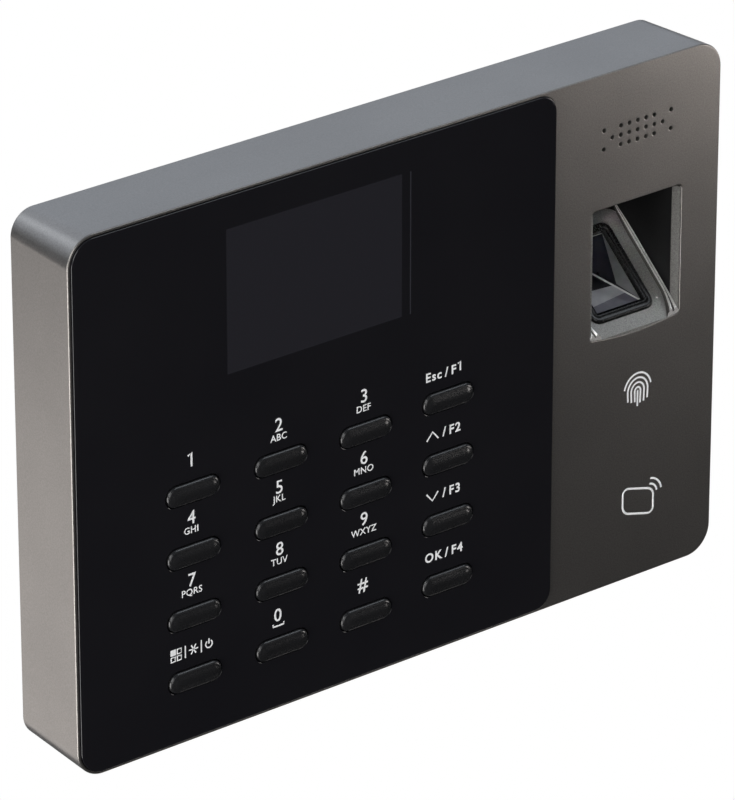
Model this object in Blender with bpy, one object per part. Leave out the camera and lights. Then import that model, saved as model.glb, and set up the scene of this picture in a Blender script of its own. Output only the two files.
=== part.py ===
"""Wall terminal with a display, a keypad and a slanted fingerprint reader.

+Z is up, +X is the viewer's right, and the front faces -Y.  The origin is the
middle of the wall plate's back face, so the whole object lies at Y <= 0.
Every number below is in millimetres and is turned to metres by MM.
"""

import math

import bmesh
import bpy
from mathutils import Matrix, Vector

MM = 0.001
GAP = 0.3            # between neighbours that touch

# Housing
WIDTH = 187.0
HEIGHT = 132.0
CORNER = 7.0
WALL = 2.2
DRAFT = 1.0          # how far each side leans in from front to back
FRONT = -35.0        # front face of the painted housing
RIM_BACK = -12.5     # back edge of the housing's side walls
INNER_FRONT = -31.0  # inside face of the front wall
EDGE = 0.3           # rounding of the front edge
PAST = 1.0           # how far a cutter runs past the face that it cuts

# Front panel, its recess and the keys
PANEL_LEFT = -92.65
PANEL_RIGHT = 43.5
PANEL_HEIGHT = 130.3
PANEL_FRONT = -35.4
PANEL_BACK = -33.4
RECESS_FLOOR = -33.1
PANEL_CORNER_LEFT = 6.1
PANEL_CORNER_RIGHT = 4.5

KEY_WIDTH = 14.6
KEY_HEIGHT = 5.0
KEY_CORNER = 2.3
KEY_FRONT = -36.4
KEY_BACK = -29.9
KEY_TRAVEL = 0.9
KEY_FLANGE = 1.1     # how far the retaining flange reaches past the cap
KEY_EDGE = 0.45      # rounding of the cap's front edge
KEY_COLUMNS = (-60.9, -36.2, -11.9, 12.1)
KEY_TOP_ROW = -3.4
KEY_ROW_PITCH = 15.5
LAST_COLUMN_LIFT = 1.3
KEY_NAMES = (
    ("key_1", "key_4", "key_7", "key_menu"),
    ("key_2", "key_5", "key_8", "key_0"),
    ("key_3", "key_6", "key_9", "key_hash"),
    ("key_f1", "key_f2", "key_f3", "key_f4"),
)

# Display
DISPLAY_X = -26.4
DISPLAY_Z = 39.8
DISPLAY_WIDTH = 60.3
DISPLAY_HEIGHT = 42.7
DISPLAY_FRAME_DEPTH = 3.9
DISPLAY_GLASS_WIDTH = 58.0
DISPLAY_GLASS_HEIGHT = 40.6
DISPLAY_GLASS_DEPTH = 1.4
DISPLAY_VIEW_WIDTH = 51.0    # opening of the foam ring in front of the glass
DISPLAY_VIEW_HEIGHT = 37.6
DISPLAY_CABLE_WIDTH = 18.0

# Keypad electronics: left, right, low and high edges
MAT_EDGES = (-74.0, 24.0, -54.0, 3.6)
MAT_THICKNESS = 1.0
KEY_BOARD_EDGES = (-76.0, 26.0, -55.0, 4.4)
KEY_BOARD_THICKNESS = 1.2

# Finger window and the slanted reader behind it
WINDOW_X = 68.6
WINDOW_WIDTH = 27.4
WINDOW_TOP = 32.3
WINDOW_BOTTOM = -0.6
WINDOW_SAG = 0.9     # how far the lower edge bows down in the middle
WINDOW_WALL = 3.0
SLOPE = math.radians(49.7)   # the reader leans back this far from upright
SLOPE_FOOT = (-35.2, -0.6)   # Y and Z where the slanted face starts
READER_CENTRE = 15.75        # from the foot to the glass centre, up the slope
GASKET_WIDTH = 17.3
GASKET_LENGTH = 23.5
GLASS_WIDTH = 12.4
GLASS_LENGTH = 18.9
LENS_OFFSET = 6.6            # the lens sits this far down the slope from the glass centre
LENS_RADIUS = 3.2
BEZEL_LENGTH = 34.6          # before it is trimmed to the window's outline
BEZEL_THICKNESS = 2.0
RAIL_WIDTH = 1.3             # raised rail along each side of the bezel
RAIL_HEIGHT = 0.6
PRISM_RIM = 2.2              # how deep the prism's straight rim reaches
PRISM_DEPTH = 9.5
PRISM_TIP = 1.2              # half width of the flat where its lower faces meet
HOLDER_WIDTH = 22.0
HOLDER_DEPTH = 9.7
HOLDER_LENGTH = 24.0
HOLDER_SHIFT = 0.6           # up the slope from the glass centre
HOLDER_MIDDLE = 7.15         # depth of its middle under the slanted face
SENSOR_BOARD_DEPTH = 12.9
WELL_WALL = 1.2
WELL_FRONT = -31.7
WELL_BACK = -8.7
WELL_TOP = 34.0

# Speaker grille
GRILLE_X = 68.2
GRILLE_Z = 49.6
GRILLE_PITCH_X = 2.53
GRILLE_PITCH_Z = 2.35
GRILLE_HOLE = 0.6
SPEAKER_WIDTH = 30.0
SPEAKER_HEIGHT = 19.0
SPEAKER_POCKET_FLOOR = FRONT + 2.0
GASKET_BAND = 1.8            # width of the foam ring around the speaker
MAGNET_RADIUS = 7.5

# Card antenna
ANTENNA_X = 67.5
ANTENNA_Z = -38.0
ANTENNA_WIDTH = 29.0
ANTENNA_HEIGHT = 40.0
ANTENNA_FRONT = -30.6

# Boards
MAIN_BOARD_FRONT = -24.4
BOARD_THICKNESS = 1.6
MAIN_BOARD_BACK = MAIN_BOARD_FRONT + BOARD_THICKNESS
MAIN_BOARD_EDGES = (-86.0, 40.5, -50.0, 51.0)
BOARD_TOP = MAIN_BOARD_BACK + GAP    # where parts on the main board start
STANDOFFS = ((-82.0, -20.0), (-82.0, 45.0), (36.0, -20.0), (36.0, 45.0))
STANDOFF_RADIUS = 3.0
STANDOFF_HOLE = 1.5
SHIELD_SIZE = (30.0, 2.6, 24.0)
SHIELD_PLACE = (-30.0, 22.0)
BATTERY_PLACE = (12.0, 30.0)
BATTERY_RADIUS = 10.0
BATTERY_HEIGHT = 3.2
BUZZER_PLACE = (-66.0, 30.0)
BUZZER_RADIUS = 6.0
BUZZER_HEIGHT = 7.0

# Sockets: network, wire terminals and power in the rear bay, and USB in the bottom
COVER_BACK = -1.8
SOCKET_MOUTH = COVER_BACK - 3.4
BAY_Z = -17.0
NETWORK_X = -25.0
NETWORK_WIDTH = 16.0
NETWORK_HEIGHT = 13.6
TERMINALS_X = 3.0
TERMINALS_WIDTH = 30.0
TERMINALS_HEIGHT = 9.6
TERMINALS_COUNT = 8
TERMINALS_PITCH = 3.5
POWER_X = 27.5
POWER_WIDTH = 9.4
POWER_HEIGHT = 11.0
POWER_BORE = 3.2
POWER_PIN = 1.0
USB_X = -10.0
USB_WIDTH = 13.2
USB_HEIGHT = 5.8
USB_LENGTH = 18.0
USB_Y = BOARD_TOP + USB_HEIGHT / 2
USB_MIDDLE_Z = -56.4
USB_SHEET = 0.4              # thickness of the socket's sheet metal

# Rear cover and wall plate
BOSSES = ((-87.0, 59.8), (-87.0, -59.8), (20.0, 60.2), (20.0, -60.2), (87.0, 59.8), (87.0, -59.8))
BOSS_RADIUS = 3.8
BOSS_HOLE = 1.75
COVER_FRONT = -14.7
BULGE_LEFT = -80.5
BULGE_RIGHT = 86.2   # reaches further on the reader's side, to clear its well
BULGE_HALF_HEIGHT = 55.0
COVER_WALL = 2.0
BAY_WIDTH = 76.0
BAY_HEIGHT = 24.0
PLATE_WIDTH = 128.0
PLATE_HEIGHT = 88.0
PLATE_THICKNESS = 1.5
HOOKS = ((-52.0, 20.0), (52.0, 20.0), (-52.0, -38.0), (52.0, -38.0))
HOOK_WIDTH = 12.0
HOOK_RISE = 6.0      # the cover's slots let the terminal rise 4.5 off these hooks
SLOT_LENGTH = 8.0    # of the holes for the wall screws
SLOT_WIDTH = 3.8
SLOT_X = 30.0
SLOT_Z = 36.0

# Screws: head radius, head height, shank radius and shank length
REAR_SCREW = (2.8, 1.6, 1.4, 10.5)
BOARD_SCREW = (2.4, 1.4, 1.15, 6.0)
SCREW_SLOT = 0.7

for old in list(bpy.data.objects):
    bpy.data.objects.remove(old, do_unlink=True)


def new_collection(name):
    collection = bpy.data.collections.new(name)
    bpy.context.scene.collection.children.link(collection)
    return collection


PARTS = new_collection("fingerprint_terminal")
CUTTERS = new_collection("cutters")


def material(name, colour, roughness, metallic=0.0):
    made = bpy.data.materials.new(name)
    made.use_nodes = True
    shader = made.node_tree.nodes["Principled BSDF"]
    shader.inputs["Base Color"].default_value = (*colour, 1.0)
    shader.inputs["Roughness"].default_value = roughness
    shader.inputs["Metallic"].default_value = metallic
    made.diffuse_color = (*colour, 1.0)
    return made


METAL_PAINT = material("metal_paint", (0.105, 0.100, 0.096), 0.42, 0.35)
BLACK_GLOSS = material("black_gloss", (0.010, 0.010, 0.012), 0.08)
KEY_BLACK = material("key_black", (0.018, 0.018, 0.020), 0.32)
BLACK_PLASTIC = material("black_plastic", (0.020, 0.020, 0.021), 0.55)
READER_SILVER = material("reader_silver", (0.34, 0.335, 0.32), 0.38, 0.7)
SOFT_BLACK = material("soft_black", (0.015, 0.015, 0.015), 0.8)
CLEAR_GLASS = material("clear_glass", (0.60, 0.63, 0.66), 0.03)
DISPLAY_DARK = material("display_dark", (0.030, 0.030, 0.036), 0.12)
BOARD_GREEN = material("board_green", (0.020, 0.110, 0.050), 0.45)
STEEL = material("steel", (0.52, 0.52, 0.53), 0.34, 1.0)
SILICONE = material("silicone", (0.22, 0.22, 0.23), 0.7)
FOAM = material("foam", (0.045, 0.045, 0.047), 0.95)
CONNECTOR_GREEN = material("connector_green", (0.045, 0.260, 0.085), 0.5)
FLEX_AMBER = material("flex_amber", (0.40, 0.16, 0.03), 0.4)
SHELL_SILVER = material("shell_silver", (0.62, 0.62, 0.64), 0.28, 1.0)


# Outlines are lists of (across, up) points in millimetres

def arc(centre_x, centre_z, radius, start, end, steps):
    """Points of an arc from angle start to angle end, in degrees, both ends in."""
    points = []
    for step in range(steps + 1):
        angle = math.radians(start + (end - start) * step / steps)
        points.append((centre_x + radius * math.cos(angle), centre_z + radius * math.sin(angle)))
    return points


def box_outline(left, right, low, high, radii, steps=5):
    """A rectangle with round corners; radii go right-top, left-top, left-low, right-low."""
    corners = (
        (right - radii[0], high - radii[0], radii[0], 0),
        (left + radii[1], high - radii[1], radii[1], 90),
        (left + radii[2], low + radii[2], radii[2], 180),
        (right - radii[3], low + radii[3], radii[3], 270),
    )
    points = []
    for centre_x, centre_z, radius, start in corners:
        points += arc(centre_x, centre_z, radius, start, start + 90, steps)
    return points


def rounded(width, height, radius, x=0.0, z=0.0, steps=5):
    """A rectangle about (x, z) with four equal round corners."""
    half_w = width / 2
    half_h = height / 2
    return box_outline(x - half_w, x + half_w, z - half_h, z + half_h, (radius,) * 4, steps)


def circle(radius, x=0.0, z=0.0, steps=16):
    return arc(x, z, radius, 0, 360, steps)[:-1]


def window_outline(grow):
    """The finger window: square shoulders and a lower edge that bows down."""
    half = WINDOW_WIDTH / 2 + grow
    top = WINDOW_TOP + grow
    low = WINDOW_BOTTOM - grow
    radius = 1.0 + grow
    points = arc(half - radius, top - radius, radius, 0, 90, 3)
    points += arc(radius - half, top - radius, radius, 90, 180, 3)
    points += arc(radius - half, low + radius, radius, 180, 240, 3)
    bow = 8
    reach = half - 1.5 * radius
    for step in range(bow + 1):
        share = 2 * step / bow - 1
        points.append((share * reach, low - WINDOW_SAG * (1 - share * share)))
    points += arc(half - radius, low + radius, radius, 300, 360, 3)
    return [(x + WINDOW_X, z) for x, z in points]


# Mesh building

def drop_repeats(points):
    kept = []
    for point in points:
        if not kept or math.dist(point, kept[-1]) > 1e-4:
            kept.append(point)
    if math.dist(kept[0], kept[-1]) < 1e-4:
        kept.pop()
    return kept


def extruded_mesh(name, loops, thickness, axes):
    """A flat outline with holes, given thickness; axes map its plane into the world."""
    curve = bpy.data.curves.new(name, "CURVE")
    curve.dimensions = "2D"
    curve.fill_mode = "BOTH"
    curve.extrude = thickness / 2 * MM
    for loop in loops:
        points = drop_repeats(loop)
        spline = curve.splines.new("POLY")
        spline.points.add(len(points) - 1)
        for spot, (across, up) in zip(spline.points, points):
            spot.co = (across * MM, up * MM, 0.0, 1.0)
        spline.use_cyclic_u = True
    guide = bpy.data.objects.new(name + "_outline", curve)
    CUTTERS.objects.link(guide)
    graph = bpy.context.evaluated_depsgraph_get()
    mesh = bpy.data.meshes.new_from_object(guide.evaluated_get(graph))
    mesh.name = name
    bpy.data.objects.remove(guide)
    shape = bmesh.new()
    shape.from_mesh(mesh)
    bmesh.ops.remove_doubles(shape, verts=shape.verts, dist=1e-6)
    if len(loops) == 1:
        bmesh.ops.dissolve_limit(shape, angle_limit=0.02, verts=shape.verts, edges=shape.edges)
    bmesh.ops.transform(shape, matrix=axes, verts=shape.verts)
    bmesh.ops.recalc_face_normals(shape, faces=shape.faces)
    shape.to_mesh(mesh)
    shape.free()
    return mesh


FACING = Matrix(((1, 0, 0, 0), (0, 0, -1, 0), (0, 1, 0, 0), (0, 0, 0, 1)))
SIDEWAYS = Matrix(((0, 0, 1, 0), (1, 0, 0, 0), (0, 1, 0, 0), (0, 0, 0, 1)))
LEVEL = Matrix.Identity(4)


def add(name, mesh, place, finish, collection=PARTS):
    """An object of this mesh with its origin at place, in millimetres."""
    made = bpy.data.objects.new(name, mesh)
    made.location = Vector(place) * MM
    collection.objects.link(made)
    if finish:
        mesh.materials.clear()
        mesh.materials.append(finish)
    if collection is CUTTERS:
        made.hide_render = True
        made.display_type = "WIRE"
    return made


def facing(name, loops, front, back, finish, collection=PARTS, place=(0.0, 0.0)):
    """A plate that faces the viewer, from Y = front to Y = back."""
    mesh = extruded_mesh(name, loops, back - front, FACING)
    return add(name, mesh, (place[0], (front + back) / 2, place[1]), finish, collection)


def sideways(name, outline, left, right, finish, collection=PARTS):
    """A (Y, Z) section drawn out along X."""
    mesh = extruded_mesh(name, [outline], right - left, SIDEWAYS)
    return add(name, mesh, ((left + right) / 2, 0.0, 0.0), finish, collection)


def block(name, size, place, finish, collection=PARTS):
    mesh = bpy.data.meshes.new(name)
    shape = bmesh.new()
    bmesh.ops.create_cube(shape, size=1.0, matrix=Matrix.Diagonal((*(Vector(size) * MM), 1.0)))
    shape.to_mesh(mesh)
    shape.free()
    return add(name, mesh, place, finish, collection)


def rod(name, radius, front, back, place, finish, collection=PARTS, steps=20):
    """A cylinder along Y from front to back, at place = (x, z)."""
    mesh = bpy.data.meshes.new(name)
    shape = bmesh.new()
    turn = Matrix.Rotation(math.radians(90), 4, "X")
    bmesh.ops.create_cone(shape, cap_ends=True, segments=steps, radius1=radius * MM,
                          radius2=radius * MM, depth=(back - front) * MM, matrix=turn)
    shape.to_mesh(mesh)
    shape.free()
    return add(name, mesh, (place[0], (front + back) / 2, place[1]), finish, collection)


def combine(target, other, operation):
    """A live exact Boolean of other on target."""
    step = target.modifiers.new(operation.lower() + "_" + other.name, "BOOLEAN")
    step.operation = operation
    step.solver = "EXACT"
    step.object = other


def cut(target, other):
    combine(target, other, "DIFFERENCE")


def join(target, other):
    combine(target, other, "UNION")


def settle(made, finish):
    """Apply the modifiers and drop the pieces that they used."""
    helpers = [step.object for step in made.modifiers if step.type == "BOOLEAN"]
    graph = bpy.context.evaluated_depsgraph_get()
    mesh = bpy.data.meshes.new_from_object(made.evaluated_get(graph))
    mesh.name = made.name
    made.modifiers.clear()
    made.data = mesh
    mesh.materials.clear()
    mesh.materials.append(finish)
    for helper in helpers:
        bpy.data.objects.remove(helper)
    return mesh


def lean_back(mesh, plane, amount, width, height):
    """Draw in the vertices behind plane (local Y), so the sides get their draft."""
    for vertex in mesh.vertices:
        if vertex.co.y > plane * MM:
            vertex.co.x *= 1 - 2 * amount / width
            vertex.co.z *= 1 - 2 * amount / height


def round_front(mesh, radius, steps):
    """Round the edge all around the frontmost face."""
    shape = bmesh.new()
    shape.from_mesh(mesh)
    front = min(vertex.co.y for vertex in shape.verts)
    edges = [edge for edge in shape.edges
             if all(abs(vertex.co.y - front) < 1e-6 for vertex in edge.verts)]
    bmesh.ops.bevel(shape, geom=edges, offset=radius * MM, offset_type="OFFSET",
                    segments=steps, profile=0.5, affect="EDGES")
    shape.to_mesh(mesh)
    shape.free()


def shade(made, angle=35.0):
    made.data.shade_smooth()
    made.data.set_sharp_from_angle(angle=math.radians(angle))


def key_places():
    """Every key's name with its middle (x, z)."""
    for column, names in enumerate(KEY_NAMES):
        lift = LAST_COLUMN_LIFT if column == len(KEY_COLUMNS) - 1 else 0.0
        for row, name in enumerate(names):
            yield name, (KEY_COLUMNS[column], KEY_TOP_ROW + lift - row * KEY_ROW_PITCH)


def grille_places():
    """A bow-tie of small holes: three full rows, thinned out towards both ends."""
    for column in range(-4, 5):
        for row in (-1, 0, 1):
            far = abs(column)
            if far <= 2 or (far == 3 and row == 0) or (far == 4 and row != 0):
                yield GRILLE_X + column * GRILLE_PITCH_X, GRILLE_Z + row * GRILLE_PITCH_Z


def slope_place(up_slope, x=WINDOW_X, depth=0.0):
    """World point of the reader's slanted frame."""
    y = SLOPE_FOOT[0] + up_slope * math.sin(SLOPE) + depth * math.cos(SLOPE)
    z = SLOPE_FOOT[1] + up_slope * math.cos(SLOPE) - depth * math.sin(SLOPE)
    return (x, y, z)


def on_slope(made, up_slope, depth=0.0):
    """Place a piece in the slanted frame: local Z runs up the slope, Y goes under it."""
    made.location = Vector(slope_place(up_slope, depth=depth)) * MM
    made.rotation_euler = (-SLOPE, 0.0, 0.0)
    return made


# Housing

def front_housing():
    body = facing("front_housing", [rounded(WIDTH, HEIGHT, CORNER, steps=7)],
                  FRONT, RIM_BACK, METAL_PAINT)
    lean_back(body.data, 0.0, DRAFT, WIDTH, HEIGHT)
    round_front(body.data, EDGE, 1)

    hollow = facing("housing_hollow", [rounded(WIDTH - 2 * WALL, HEIGHT - 2 * WALL, CORNER - WALL)],
                    INNER_FRONT, RIM_BACK + PAST, None, CUTTERS)
    lean_back(hollow.data, 0.0, DRAFT, WIDTH, HEIGHT)
    cut(body, hollow)

    for number, place in enumerate(BOSSES, 1):
        join(body, rod("boss_%d" % number, BOSS_RADIUS, INNER_FRONT - PAST, COVER_FRONT - GAP, place,
                       None, CUTTERS, 16))
    for number, place in enumerate(STANDOFFS, 1):
        join(body, rod("standoff_%d" % number, STANDOFF_RADIUS, INNER_FRONT - PAST,
                       MAIN_BOARD_FRONT - GAP, place, None, CUTTERS, 14))

    recess = facing("panel_recess", [panel_outline(GAP)], FRONT - PAST, RECESS_FLOOR, None, CUTTERS)
    cut(body, recess)
    holes = [rounded(DISPLAY_WIDTH + 0.7, DISPLAY_HEIGHT + 0.7, 1.0, DISPLAY_X, DISPLAY_Z, 2)]
    holes += [rounded(KEY_WIDTH + 1.0, KEY_HEIGHT + 1.0, KEY_CORNER + 0.5, x, z, 3)
              for name, (x, z) in key_places()]
    for number, hole in enumerate(holes, 1):
        cut(body, facing("floor_hole_%d" % number, [hole], RECESS_FLOOR - PAST, INNER_FRONT + PAST,
                         None, CUTTERS))

    cut(body, facing("window_hole", [window_outline(0.0)], FRONT - PAST, INNER_FRONT + PAST,
                     None, CUTTERS))
    thinned = rounded(34.0, 42.0, 1.0, WINDOW_X, 15.6, 2)
    cut(body, facing("window_thinning", [thinned], FRONT + WINDOW_WALL, INNER_FRONT + PAST,
                     None, CUTTERS))
    pocket = rounded(SPEAKER_WIDTH + 2.0, SPEAKER_HEIGHT + 1.0, 2.0, GRILLE_X, GRILLE_Z, 2)
    cut(body, facing("speaker_pocket", [pocket], SPEAKER_POCKET_FLOOR, INNER_FRONT + PAST,
                     None, CUTTERS))
    for number, place in enumerate(grille_places(), 1):
        cut(body, rod("grille_hole_%d" % number, GRILLE_HOLE, FRONT - PAST,
                      SPEAKER_POCKET_FLOOR + PAST, place, None, CUTTERS, 10))

    for number, place in enumerate(BOSSES, 1):
        cut(body, rod("boss_hole_%d" % number, BOSS_HOLE, COVER_FRONT - 10.0, COVER_FRONT + PAST,
                      place, None, CUTTERS, 12))
    for number, place in enumerate(STANDOFFS, 1):
        cut(body, rod("standoff_hole_%d" % number, STANDOFF_HOLE, MAIN_BOARD_FRONT - 5.5,
                      MAIN_BOARD_FRONT + PAST, place, None, CUTTERS, 10))
    cut(body, block("usb_hole", (USB_WIDTH + 1.0, USB_HEIGHT + 0.8, 8.0), (USB_X, USB_Y, -HEIGHT / 2),
                    None, CUTTERS))
    shade(body)


def panel_outline(grow):
    """The glossy panel: large corners at the housing's end, smaller ones inside it."""
    left_radius = PANEL_CORNER_LEFT + grow
    right_radius = PANEL_CORNER_RIGHT + grow
    half = PANEL_HEIGHT / 2 + grow
    return box_outline(PANEL_LEFT - grow, PANEL_RIGHT + grow, -half, half,
                       (right_radius, left_radius, left_radius, right_radius), 6)


def front_panel():
    loops = [panel_outline(0.0)]
    for name, (x, z) in key_places():
        loops.append(rounded(KEY_WIDTH + 2 * GAP, KEY_HEIGHT + 2 * GAP, KEY_CORNER + GAP, x, z, 5))
    panel = facing("front_panel", loops, PANEL_FRONT, PANEL_BACK, BLACK_GLOSS)
    shade(panel)


def keys():
    """One stepped keycap mesh, placed at every key's middle; each key slides along Y."""
    cap = facing("key_shape", [rounded(KEY_WIDTH, KEY_HEIGHT, KEY_CORNER, steps=5)],
                 KEY_FRONT, KEY_BACK - 0.3, KEY_BLACK)
    round_front(cap.data, KEY_EDGE, 2)
    flange = facing("key_flange", [rounded(KEY_WIDTH + 2 * KEY_FLANGE, KEY_HEIGHT + 2 * KEY_FLANGE,
                                           KEY_CORNER, steps=3)],
                    INNER_FRONT + GAP, KEY_BACK, None, CUTTERS)
    join(cap, flange)
    middle = cap.location.y / MM
    mesh = settle(cap, KEY_BLACK)
    bpy.data.objects.remove(cap)
    for name, (x, z) in key_places():
        shade(add(name, mesh, (x, middle, z), None))


# Display, keypad electronics and boards

def display():
    front = RECESS_FLOOR + 0.5 + GAP
    back = front + DISPLAY_FRAME_DEPTH
    place = (DISPLAY_X, DISPLAY_Z)
    frame = facing("display_frame", [rounded(DISPLAY_WIDTH, DISPLAY_HEIGHT, 0.8, steps=2)],
                   front, back, SHELL_SILVER, PARTS, place)
    tray = rounded(DISPLAY_GLASS_WIDTH + 0.7, DISPLAY_GLASS_HEIGHT + 0.7, 0.2, steps=1)
    cut(frame, facing("display_tray", [tray], front - PAST, front + 1.9, None, CUTTERS, place))
    block("display_glass", (DISPLAY_GLASS_WIDTH, DISPLAY_GLASS_DEPTH, DISPLAY_GLASS_HEIGHT),
          (DISPLAY_X, front + 0.1 + DISPLAY_GLASS_DEPTH / 2, DISPLAY_Z), DISPLAY_DARK)
    ring = [rounded(DISPLAY_WIDTH - 0.9, DISPLAY_HEIGHT - 0.9, 0.8, steps=2),
            rounded(DISPLAY_VIEW_WIDTH, DISPLAY_VIEW_HEIGHT, 0.4, steps=2)]
    facing("display_gasket", ring, RECESS_FLOOR, RECESS_FLOOR + 0.5, FOAM, PARTS, place)
    start = back + GAP + 0.15
    end = MAIN_BOARD_FRONT - 0.45
    route = [(start, 36.0), (start, 25.0), (end, 17.0), (end, 8.0)]
    sideways("display_cable", strip(route, 0.3), DISPLAY_X - DISPLAY_CABLE_WIDTH / 2,
             DISPLAY_X + DISPLAY_CABLE_WIDTH / 2, FLEX_AMBER)


def strip(points, thickness):
    """Outline of a thin band that follows the points."""
    sides = ([], [])
    for index, point in enumerate(points):
        before = points[max(index - 1, 0)]
        after = points[min(index + 1, len(points) - 1)]
        run = Vector((after[0] - before[0], after[1] - before[1])).normalized()
        offset = Vector((-run.y, run.x)) * thickness / 2
        sides[0].append((point[0] + offset.x, point[1] + offset.y))
        sides[1].append((point[0] - offset.x, point[1] - offset.y))
    return sides[0] + sides[1][::-1]


def keypad():
    mat_front = KEY_BACK + KEY_TRAVEL + GAP
    facing("keypad_mat", [box_outline(*MAT_EDGES, (1.5,) * 4, 2)],
           mat_front, mat_front + MAT_THICKNESS, SILICONE)
    board_front = mat_front + MAT_THICKNESS + GAP
    facing("key_board", [box_outline(*KEY_BOARD_EDGES, (1.0,) * 4, 2)],
           board_front, board_front + KEY_BOARD_THICKNESS, BOARD_GREEN)


def main_board():
    board = facing("main_board", [box_outline(*MAIN_BOARD_EDGES, (1.0,) * 4, 2)]
                   + [circle(STANDOFF_HOLE, x, z, 10) for x, z in STANDOFFS],
                   MAIN_BOARD_FRONT, MAIN_BOARD_BACK, BOARD_GREEN)
    shade(board)
    block("processor_shield", SHIELD_SIZE,
          (SHIELD_PLACE[0], BOARD_TOP + SHIELD_SIZE[1] / 2, SHIELD_PLACE[1]), SHELL_SILVER)
    shade(rod("backup_battery", BATTERY_RADIUS, BOARD_TOP, BOARD_TOP + BATTERY_HEIGHT, BATTERY_PLACE,
              STEEL, steps=28))
    shade(rod("buzzer", BUZZER_RADIUS, BOARD_TOP, BOARD_TOP + BUZZER_HEIGHT, BUZZER_PLACE,
              BLACK_PLASTIC, steps=22))


def connectors():
    mouth = SOCKET_MOUTH
    depth = mouth - BOARD_TOP
    middle = (BOARD_TOP + mouth) / 2

    jack = block("network_jack", (NETWORK_WIDTH, depth, NETWORK_HEIGHT), (NETWORK_X, middle, BAY_Z),
                 SHELL_SILVER)
    cut(jack, block("network_mouth", (12.0, 24.0, 7.2), (NETWORK_X, mouth, BAY_Z + 0.8),
                    None, CUTTERS))
    cut(jack, block("network_latch", (4.4, 24.0, 4.0), (NETWORK_X, mouth, BAY_Z - 3.6),
                    None, CUTTERS))

    strip_block = block("terminal_block", (TERMINALS_WIDTH, depth, TERMINALS_HEIGHT),
                        (TERMINALS_X, middle, BAY_Z), CONNECTOR_GREEN)
    for number in range(TERMINALS_COUNT):
        x = TERMINALS_X + (number - (TERMINALS_COUNT - 1) / 2) * TERMINALS_PITCH
        cut(strip_block, block("wire_hole_%d" % number, (2.4, 10.0, 2.8), (x, mouth, BAY_Z - 2.0),
                               None, CUTTERS))
        cut(strip_block, rod("clamp_hole_%d" % number, 1.2, mouth - 2.0, mouth + PAST,
                             (x, BAY_Z + 2.4), None, CUTTERS, 10))

    power = block("power_jack", (POWER_WIDTH, depth, POWER_HEIGHT), (POWER_X, middle, BAY_Z),
                  BLACK_PLASTIC)
    bore = facing("power_bore", [circle(POWER_BORE, steps=20), circle(POWER_PIN, steps=12)],
                  mouth - 9.0, mouth + PAST, None, CUTTERS, (POWER_X, BAY_Z))
    cut(power, bore)

    port = block("usb_port", (USB_WIDTH, USB_HEIGHT, USB_LENGTH), (USB_X, USB_Y, USB_MIDDLE_Z),
                 SHELL_SILVER)
    low = USB_MIDDLE_Z - USB_LENGTH / 2
    high = low + USB_LENGTH - 5.6
    cut(port, block("usb_mouth", (USB_WIDTH - 2 * USB_SHEET, USB_HEIGHT - 2 * USB_SHEET,
                                  high - low + 2 * PAST), (USB_X, USB_Y, (high + low) / 2 - PAST),
                    None, CUTTERS))
    block("usb_tongue", (USB_WIDTH - 1.8, 1.6, 8.4), (USB_X, USB_Y + 1.3, high - GAP - 4.2),
          BLACK_PLASTIC)


def speaker_and_antenna():
    front = SPEAKER_POCKET_FLOOR + GAP
    place = (GRILLE_X, GRILLE_Z)
    width = SPEAKER_WIDTH - 1.0
    height = SPEAKER_HEIGHT - 0.6
    ring = [rounded(width, height, 6.0, steps=4),
            rounded(width - 2 * GASKET_BAND, height - 2 * GASKET_BAND, 5.0, steps=4)]
    facing("speaker_gasket", ring, front, front + 1.4, FOAM, PARTS, place)
    cone = facing("speaker", [rounded(SPEAKER_WIDTH, SPEAKER_HEIGHT, 6.0, steps=4)],
                  front + 1.4 + GAP, front + 3.4, BLACK_PLASTIC, PARTS, place)
    join(cone, rod("speaker_magnet", MAGNET_RADIUS, front + 3.0, front + 7.0, place,
                   None, CUTTERS, 24))
    shade(cone)
    facing("card_antenna", [rounded(ANTENNA_WIDTH, ANTENNA_HEIGHT, 1.5, steps=2)],
           ANTENNA_FRONT, ANTENNA_FRONT + 1.0, BOARD_GREEN, PARTS, (ANTENNA_X, ANTENNA_Z))


# Fingerprint reader

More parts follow.
